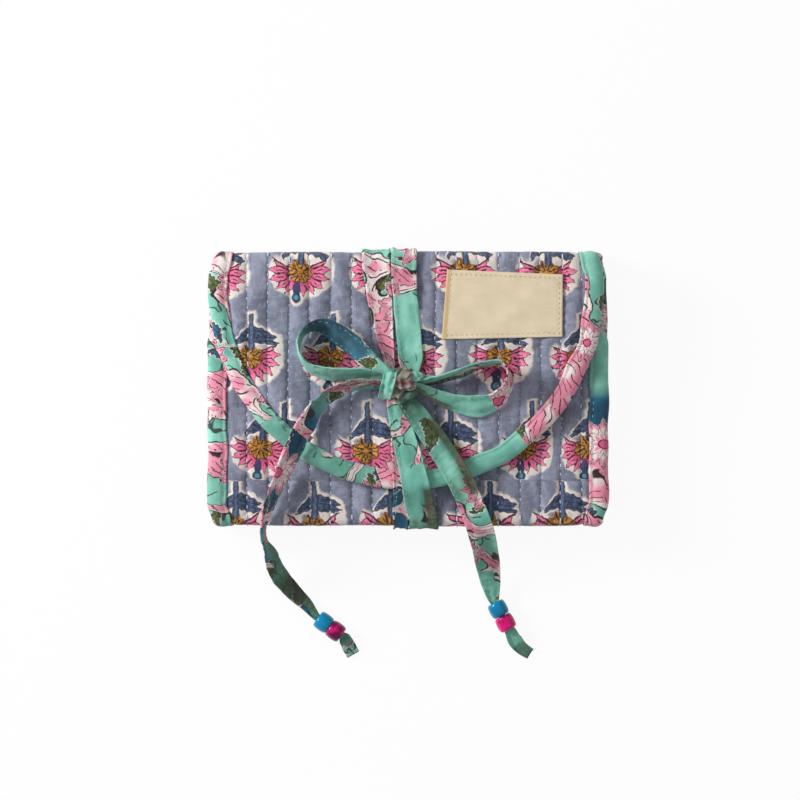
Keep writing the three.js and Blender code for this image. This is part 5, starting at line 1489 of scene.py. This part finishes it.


# Each binding's CAD node, side and outline, then its place in the print, its seed, what carries it, and how
# the print runs along it
# A print row's fourth number is painted shade
bindings = {
    "bindingFlap": ("binding_flap", 1, flapOutline(), (400, 0, 0), 90, flapBlend, [
        (0, 1.3, 0), (0.22, 1.7, 0), (0.27, 0.8, 0), (0.3, 0.3, 0, 0.2), (0.36, 0.3, 0, 0.3),
        (0.43, 0.6, 0, 0.4), (0.465, 1.5, 0), (0.5, 1.5, 0), (0.53, 0.08, 0), (0.66, 0.15, 0),
        (0.69, 1.6, 0), (0.89, 1.7, 0), (0.92, 0.2, 0), (1, 0.2, 0)]),
    "bindingFront": ("binding_front", -1, frontOutline(), (440, 15, 0), 93, frontBlend, [
        (0, 1.5, 0), (0.14, 1.6, 0), (0.15, 0.3, 1), (0.185, 0.3, 1), (0.2, 0.1, 0), (0.5, 0.5, 0),
        (0.78, 0.7, 0), (0.82, 1.5, 0), (0.885, 1.6, 0), (0.91, 0.6, 0, 0.3), (0.96, 0.7, 0, 0.3),
        (1, 0.9, 0)]),
    "bindingBackLeft": ("binding_back_left", 0, backOutline(-1), (460, 0, 0), 95, "back", [
        (0, 0.9, 0), (1, 0.8, 0.1)]),
    "bindingBackRight": ("binding_back_right", 0, backOutline(1), (540, 0, 0), 97, "back", [
        (0, 0.9, 0), (1, 0.8, 0.1)]),
}
for name, (node, side, outline, *kit) in bindings.items():
    bindingPiece(name, node, *shellEdge(side, *outline), *kit)
print("bindings")


# The knot: a crumpled gather, a smaller fold on its right, and a band wrapped round it
knot = {"x": -3.0, "y": 2.5, "foot": packTop(2.5) + 0.3, "rows": 64, "turns": 84}


def lumpPiece(name, node, centre, size, pleats, depth, cut, printAndShade, seed, turn):
    share = np.linspace(0.02, 0.98, knot["rows"])[:, None]
    angle = np.linspace(0, 2 * math.pi, knot["turns"], endpoint=False)[None]
    polar = math.pi * share
    twist = angle + share * 1.1
    fold = depth * (np.abs(np.sin(pleats * twist / 2 + ripple(share * 30, angle * 4, 20, seed))) - 0.5)
    fold = fold + depth * 0.9 * ripple(share * 20 + 3 * np.cos(angle), 9 * np.sin(angle), 5, seed + 1)
    radius = np.sin(polar) * (1 + fold * np.sin(polar))
    x = -np.cos(polar) * size[0] * (1 + 0 * angle)
    y, z = radius * np.cos(angle) * size[1], radius * np.sin(angle) * size[2]
    centre = np.array([knot["x"], knot["y"], knot["foot"]]) + centre
    c, s = math.cos(math.radians(turn)), math.sin(math.radians(turn))
    x, y, z = centre[0] + x * c - y * s, centre[1] + x * s + y * c, centre[2] + z
    points = np.stack([x, y, np.maximum(z, knot["foot"] + 0.05 * ripple(x, y, 4, seed))], -1)
    u = np.append(angle[0], 2 * math.pi)[None] * size[1] + 0 * share
    uv = np.stack(clothPlace(u, share * size[0] * 2 + 0 * u, cut), -1)
    piece = tubePiece(name, points, uv, [cloths["tie"]])
    markPoints(piece, "cut", np.repeat(printAlong(share[:, 0], printAndShade), knot["turns"], axis=0))
    fitPiece(piece, "flap", node, "tie_cotton")


# The gather is darkened all over with painted shade, by its print rows' fourth numbers
lumpPiece("knotGather", "knot", (0.5, -0.5, 4.6), (8.6, 7.2, 5.6), 7, 0.36, (628, 31, 20),
          [(0, 0.34, 0.3, 1), (0.4, 0.6, 0, 1), (0.7, 0.7, 0, 0.9), (1, 0.34, 0, 1)], 101, -24)
lumpPiece("knotFold", None, (6.4, 3.4, 6.0), (5.8, 2.7, 3.4), 5, 0.14, (640, 3, 70),
          [(0, 0.1, 0, 0.2), (0.5, 0.34, 0, 0.1), (0.7, 1.4, 0, 0.4), (1, 1.2, 0, 0.3)], 104, -4)
bandArc = [(6.4, 0.9), (6.3, 3.2), (5.2, 6.5), (3, 8.7), (0, 9.4), (-3, 8.6), (-5.2, 6.4), (-6.3, 3.2),
           (-6.4, 0.9)]
band = {
    "rows": [[knot["x"] - 7.0 + 0.26 * y, knot["y"] + y, knot["foot"] + z, 6.9 - 0.02 * y * y, 0]
             for y, z in bandArc],
    "cut": (700, 40, 0), "print": [(0, 0.3, 0), (0.3, 0.05, 0), (1, 0.15, 0)], "step": 0.6, "cup": 0.9,
    "crumple": 0.9, "crease": 0.9, "pleat": 0.3, "pleatEnd": 0.6,
}
stripPiece("knotBand", band, "flap", 107)
print("knot and bow")


# The bare label, sewn down all round
label = {
    "corners": [[16.7, 24.6], [76.9, 25.9], [77.1, 57.0], [19.4, 59.4]], "size": (59, 33), "lift": 0.3,
    "thick": 0.62, "turnedIn": 2.6, "turnedHeight": 0.12, "wave": (0.16, 21), "rounded": (0.2, 0.8),
    "stitchInset": 2.0, "sunk": (0.16, 0.7), "pitch": 2.3, "sewn": (54, 28), "thread": (1.35, 0.24),
}


def labelPlace(across, up):
    c, (wide, high) = np.array(label["corners"]), label["size"]
    across, up = np.asarray(across)[..., None], np.asarray(up)[..., None]
    xy = mixed(mixed(c[0], c[1], across), mixed(c[3], c[2], across), up)
    x, y = xy[..., 0], xy[..., 1]
    rim = np.minimum(np.minimum(across, 1 - across) * wide, np.minimum(up, 1 - up) * high)[..., 0]
    (wave, size), (sunk, sunkWide), (drop, dropWide) = (label[key] for key in ("wave", "sunk", "rounded"))
    z = packTop(y) + label["lift"] + label["thick"] + wave * ripple(x, y, size, 120)
    z = z - sunk * np.exp(-((rim - label["stitchInset"]) / sunkWide) ** 2)
    z = z - drop * (1 - smoothStep(rim, 0, dropWide))
    turned = 1 - smoothStep(across[..., 0] * wide, label["turnedIn"], label["turnedIn"] + 0.6)
    return np.stack([x, y, z + label["turnedHeight"] * turned], -1)


def labelPiece():
    wide, high = label["size"]
    across, up = np.meshgrid(np.linspace(0, 1, 2 * wide), np.linspace(0, 1, 68), indexing="ij")
    top = labelPlace(across, up)
    bottom = top - np.array([0, 0, label["thick"]])
    piece = slabPiece("sewnLabel", top, bottom, np.stack([across * wide, up * high], -1), [cloths["label"]])
    fitPiece(piece, "flap", "label", "label_cloth")
    a, b = label["stitchInset"] / wide, label["stitchInset"] / high
    alongX, alongY = (np.linspace(inset, 1 - inset, int(sewn / label["pitch"]))
                      for inset, sewn in zip((a, b), label["sewn"]))
    places = [((k, edge), (1, 0)) for edge in (b, 1 - b) for k in alongX]
    places += [((edge, k), (0, 1)) for edge in (a, 1 - a) for k in alongY]
    rows = []
    for (x, y), (dx, dy) in places:
        here = labelPlace(x, y)
        rows.append((here, labelPlace(x + 0.01 * dx, y + 0.01 * dy) - here, (0, 0, 1)))
    stitchPiece("labelStitches", zip(*rows), label["thread"], "ivoryThread", "flap", "label_cloth")


labelPiece()
print("label")


# The two zip pockets. Each is a padded gusset with a soft wall, its strip and the zip's tape on it
pockets = {
    "back": {"face": 1, "gusset": (4.7, 9.7), "wall": (10.0, 10.8), "y": (-56, 17.2, 30.8, 36), "zip": 24},
    "front": {"face": -1, "gusset": (16.9, 21.9), "wall": (15.8, 16.6), "y": (-56, 1.2, 14.8, 20), "zip": 8},
}
pocketHalf = 88.0
gusset = {
    "corner": 5.0, "inset": 1.5, "step": 2.5, "sides": 20, "puckers": 12, "pucker": 0.12, "slack": 0.04,
    "high": 0.985, "box": (0.55, 0.4),
}
pocketSheet = {"steps": (2.2, 1.6), "inside": 0.14, "hem": (0.12, 1.6, 0.6)}
tape = {
    "slot": (75.2, 2.75), "half": 6.5, "rim": 0.22, "flat": 0.12, "stitches": 5.2, "sewn": 84, "pitch": 3.0,
    "thread": (1.8, 0.13),
}


def gussetLoops(y0, y1, z0, z1):
    corner, inset, sides = gusset["corner"], gusset["inset"], gusset["sides"]
    cx, cy = pocketHalf - inset - corner, (y1 - y0) / 2 - inset - corner
    mid = (y0 + y1) / 2
    centre, out = [], []
    for sx, sy, a0 in ((1, 1, 0), (-1, 1, 90), (-1, -1, 180), (1, -1, 270)):
        for a in np.radians(np.linspace(a0, a0 + 90, 9)):
            centre.append((sx * cx + corner * math.cos(a), mid + sy * cy + corner * math.sin(a)))
            out.append((math.cos(a), math.sin(a)))
    centre, out = np.array(centre + centre[:1]), np.array(out + out[:1])
    length = runLength(centre)
    run = np.linspace(0, length[-1], int(length[-1] / gusset["step"]))[:-1]
    centre, out = spaced(run, length, centre), unit(spaced(run, length, out))
    t = np.arange(sides) * 2 * math.pi / sides
    a, b = power(np.cos(t), gusset["box"][0]) * inset, power(np.sin(t), gusset["box"][1]) * (z1 - z0) / 2
    pucker = gusset["pucker"] * np.abs(np.sin(run * math.pi / gusset["puckers"]))
    swell = 1 - pucker[:, None] * (np.abs(a) > 1.2) - gusset["slack"]
    loops = np.zeros((len(run), sides, 3))
    loops[..., :2] = centre[:, None] + out[:, None] * (a * swell)[..., None]
    loops[..., 2] = (z0 + z1) / 2 + b * gusset["high"]
    turns = np.arange(sides + 1)
    return loops, np.stack([turns[None] * 0.8 + 0 * run[:, None], run[:, None] + 0 * turns], -1)


def panelPiece(name, node, y0, y1, z0, z1, body, puff, seed):
    inside, (depth, hemAt, hemWide) = pocketSheet["inside"], pocketSheet["hem"]
    nx, ny = int(2 * pocketHalf / pocketSheet["steps"][0]), max(int((y1 - y0) / pocketSheet["steps"][1]), 4)
    x, y = np.meshgrid(np.linspace(-pocketHalf, pocketHalf, nx), np.linspace(y0, y1, ny), indexing="ij")
    rim = np.minimum(pocketHalf - np.abs(x), np.minimum(y - y0, y1 - y))
    wave = puff * ripple(x, y, 30, seed) * smoothStep(rim, 0, 5)
    hem = depth * np.exp(-((rim - hemAt) / hemWide) ** 2)
    top = np.stack([x, y, z1 - inside + wave - hem], -1)
    bottom = np.stack([x, y, z0 + inside + wave + hem], -1)
    piece = slabPiece(name, top, bottom, np.stack([x, y], -1), [cloths["pocket"]])
    fitPiece(piece, body, node, "pocket_cotton")


def rectangle(halfX, halfY, steps=(60, 8)):
    bottom = [(-halfX + 2 * halfX * k / steps[0], -halfY) for k in range(steps[0])]
    right = [(halfX, -halfY + 2 * halfY * k / steps[1]) for k in range(steps[1])]
    return np.array(bottom + right + [(-x, -y) for x, y in bottom + right])


def tapePiece(side, face, middle):
    low, high = boxOf(side + "_zip_tape")
    shares = np.array([0, 0.06, 0.4, 0.75, 1.0])
    sunk = np.where((shares > 0.05) & (shares < 0.9), tape["flat"], tape["rim"])
    ring = [*zip(shares, high[2] - sunk), *zip(shares[::-1], low[2] + sunk[::-1])]
    inner, outer = rectangle(*tape["slot"]), rectangle(pocketHalf, tape["half"])
    loops = np.array([[[*(mixed(a, b, k) + (0, middle)), z] for k, z in ring] for a, b in zip(inner, outer)])
    closed = np.concatenate([loops, loops[:, :1]], 1)
    piece = tubePiece(side + "ZipTape", loops, closed[..., :2], [cloths["tape"]], closed=True)
    fitPiece(piece, side, side + "_zip_tape", "zip_tape")
    top = high[2] - tape["flat"] if face > 0 else low[2] + tape["flat"]
    rows = [((x, middle + d, top), (1, 0, 0), (0, 0, face))
            for x in np.arange(-tape["sewn"], tape["sewn"] + 1, tape["pitch"])
            for d in (-tape["stitches"], tape["stitches"])]
    stitchPiece(side + "ZipStitches", zip(*rows), tape["thread"], "ivoryThread", side, "zip_tape")


for side, kit in pockets.items():
    y0, wallEnd, stripStart, y1 = kit["y"]
    loops = gussetLoops(y0, y1, *kit["gusset"])
    piece = tubePiece(side + "PocketGusset", *loops, [cloths["pocket"]], closed=True)
    fitPiece(piece, side, side + "_pocket_gusset", "pocket_cotton")
    panelPiece(side + "PocketWall", side + "_pocket_wall", y0, wallEnd, *kit["wall"], side, 0.12, 140)
    panelPiece(side + "PocketStrip", side + "_pocket_strip", stripStart, y1, *kit["wall"], side, 0.05, 141)
    tapePiece(side, kit["face"], kit["zip"])
print("zip pockets")


# The ring roll: a stuffed tube with a flat tab at each end, on its small anchor
ringRoll = {
    "y": 48.0, "z": 10.2, "radius": 5.4, "half": 88, "shoulder": (68, 70), "gathered": 72,
    "flattened": (71, 77), "tabZ": 8.2, "tabHalf": 4.9, "tabThick": 0.48, "tabBox": 0.45, "sides": 28,
    "pleat": (0.05, 7, 4), "uneven": (0.025, 24),
}
rollAnchor = {"rows": 24, "blunt": 8, "box": (0.4, 0.5), "ends": (0.94, 0.8), "middle": (1, 0.98)}


def ringRollPieces():
    kit, sides = ringRoll, ringRoll["sides"]
    half, (near, far) = kit["half"], kit["shoulder"]
    tab = np.linspace(far, half, 26)
    x = np.concatenate([-tab[::-1], np.linspace(-near, near, 110), tab])[:, None]
    t, turns = np.arange(sides) * 2 * math.pi / sides, np.arange(sides + 1)
    flat = smoothStep(np.abs(x), *kit["flattened"])
    (depth, count, wide), (uneven, size) = kit["pleat"], kit["uneven"]
    pleat = depth * np.cos(t * count) * np.exp(-((np.abs(x) - kit["gathered"]) / wide) ** 2)
    pleat = pleat + uneven * ripple(x, 3 * np.sin(t), size, 150)
    ry = mixed(kit["radius"] * (1 + pleat), kit["tabHalf"], flat)
    rz = mixed(kit["radius"] * (1 + pleat), kit["tabThick"], flat)
    box = mixed(1.0, kit["tabBox"], flat)
    y = kit["y"] + ry * power(np.cos(t), box)
    z = mixed(kit["z"], kit["tabZ"], flat) + rz * power(np.sin(t), box)
    uv = np.stack([turns[None] * 1.2 + 0 * x, x + 0 * turns], -1)
    piece = tubePiece("ringRoll", np.stack([x + 0 * t, y, z], -1), uv, [cloths["pocket"]])
    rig.padded(piece, 0.85)
    fitPiece(piece, "ring_roll", "ring_roll", "pocket_cotton")
    low, high = boxOf("ring_roll_anchor")
    middle, size, kit = (low + high) / 2, (high - low) / 2, rollAnchor
    x = np.linspace(low[0], high[0], kit["rows"])[:, None]
    shape = np.clip(1 - (np.abs(x - middle[0]) / size[0]) ** kit["blunt"], 0, 1) ** 0.25
    fullY, fullZ = (mixed(a, b, shape) for a, b in zip(kit["ends"], kit["middle"]))
    y = middle[1] + size[1] * power(np.cos(t), kit["box"][0]) * fullY
    z = middle[2] + size[2] * power(np.sin(t), kit["box"][1]) * fullZ
    loops = np.stack([x + 0 * t, y, z], -1)
    piece = tubePiece("ringRollAnchor", loops, uv[:kit["rows"]], [cloths["pocket"]])
    fitPiece(piece, "back", "ring_roll_anchor", "pocket_cotton")


ringRollPieces()

# The hard pieces keep their CAD shapes, in better finishes
finishes = {
    "zip_row": "zip", "zip_stop": "metal", "zip_slider": "metal", "zip_pull": "metal", "ring_snap": "metal",
}
for node, shown in frame["nodes"].items():
    for ending, finish in finishes.items():
        if ending in node:
            if not shown.data.materials:
                shown.data.materials.append(None)
            shown.material_slots[0].link = "OBJECT"
            shown.material_slots[0].material = cloths[finish]
print("ring roll and zips")


# The studio: a pale floor, white to the camera, that keeps the object's shadow, and two lamps
studio = {
    "floor": (0.86, 0.86, 0.87, 1), "reach": 4, "white": 0.93, "world": 0.4,
    "key": {"at": (-1.32, 0.5, 0.78), "size": 0.55, "power": 30.0},
    "fill": {"at": (0.9, -0.5, 1.0), "size": 1.0, "power": 1.2},
}


def addFloor():
    far = studio["reach"]
    mesh = bpy.data.meshes.new("floor")
    corners = [(x * far, y * far, 0) for x, y in ((-1, -1), (1, -1), (1, 1), (-1, 1))]
    mesh.from_pydata(corners, [], [(0, 1, 2, 3)])
    floor = bpy.data.objects.new("floor", mesh)
    bpy.context.scene.collection.objects.link(floor)
    p = Paint("floorPaint", Roughness=0.9, Specular_IOR_Level=0.1)
    p.shader.inputs["Base Color"].default_value = studio["floor"]
    rays = p.node("ShaderNodeLightPath").socket.node.outputs
    seen = Wire(p, rays["Is Camera Ray"]).most(Wire(p, rays["Is Glossy Ray"]))
    glow = p.node("ShaderNodeEmission", None, {"Color": (1, 1, 1, 1), "Strength": 1.0})
    mixer = p.node("ShaderNodeMixShader", None, {0: seen * studio["white"], 2: glow})
    p.tree.links.new(p.shader.outputs[0], mixer.socket.node.inputs[1])
    p.tree.links.new(mixer.socket, p.tree.nodes["Material Output"].inputs["Surface"])
    mesh.materials.append(p.material)
    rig.stage(floor)


def addLamp(name, at, size, power):
    lamp = bpy.data.lights.new(name, "AREA")
    lamp.size, lamp.energy = size, power
    shown = bpy.data.objects.new(name, lamp)
    shown.location = at
    shown.rotation_euler = (-Vector(at)).to_track_quat("-Z", "Y").to_euler()
    bpy.context.scene.collection.objects.link(shown)


addFloor()
addLamp("key", **studio["key"])
addLamp("fill", **studio["fill"])
world = bpy.data.worlds.new("studio")
world.use_nodes = True
world.node_tree.nodes["Background"].inputs["Color"].default_value = (1, 1, 1, 1)
world.node_tree.nodes["Background"].inputs["Strength"].default_value = studio["world"]
bpy.context.scene.world = world
bpy.context.scene.view_settings.view_transform = "Standard"

bpy.context.view_layer.update()
sizes = {"cad": [list(map(float, corner)) for corner in cadBounds],
         "visual": [list(map(float, corner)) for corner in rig.bounds()]}
with open("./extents.json", "w") as out:
    json.dump(sizes, out)
print("size:", sizes)
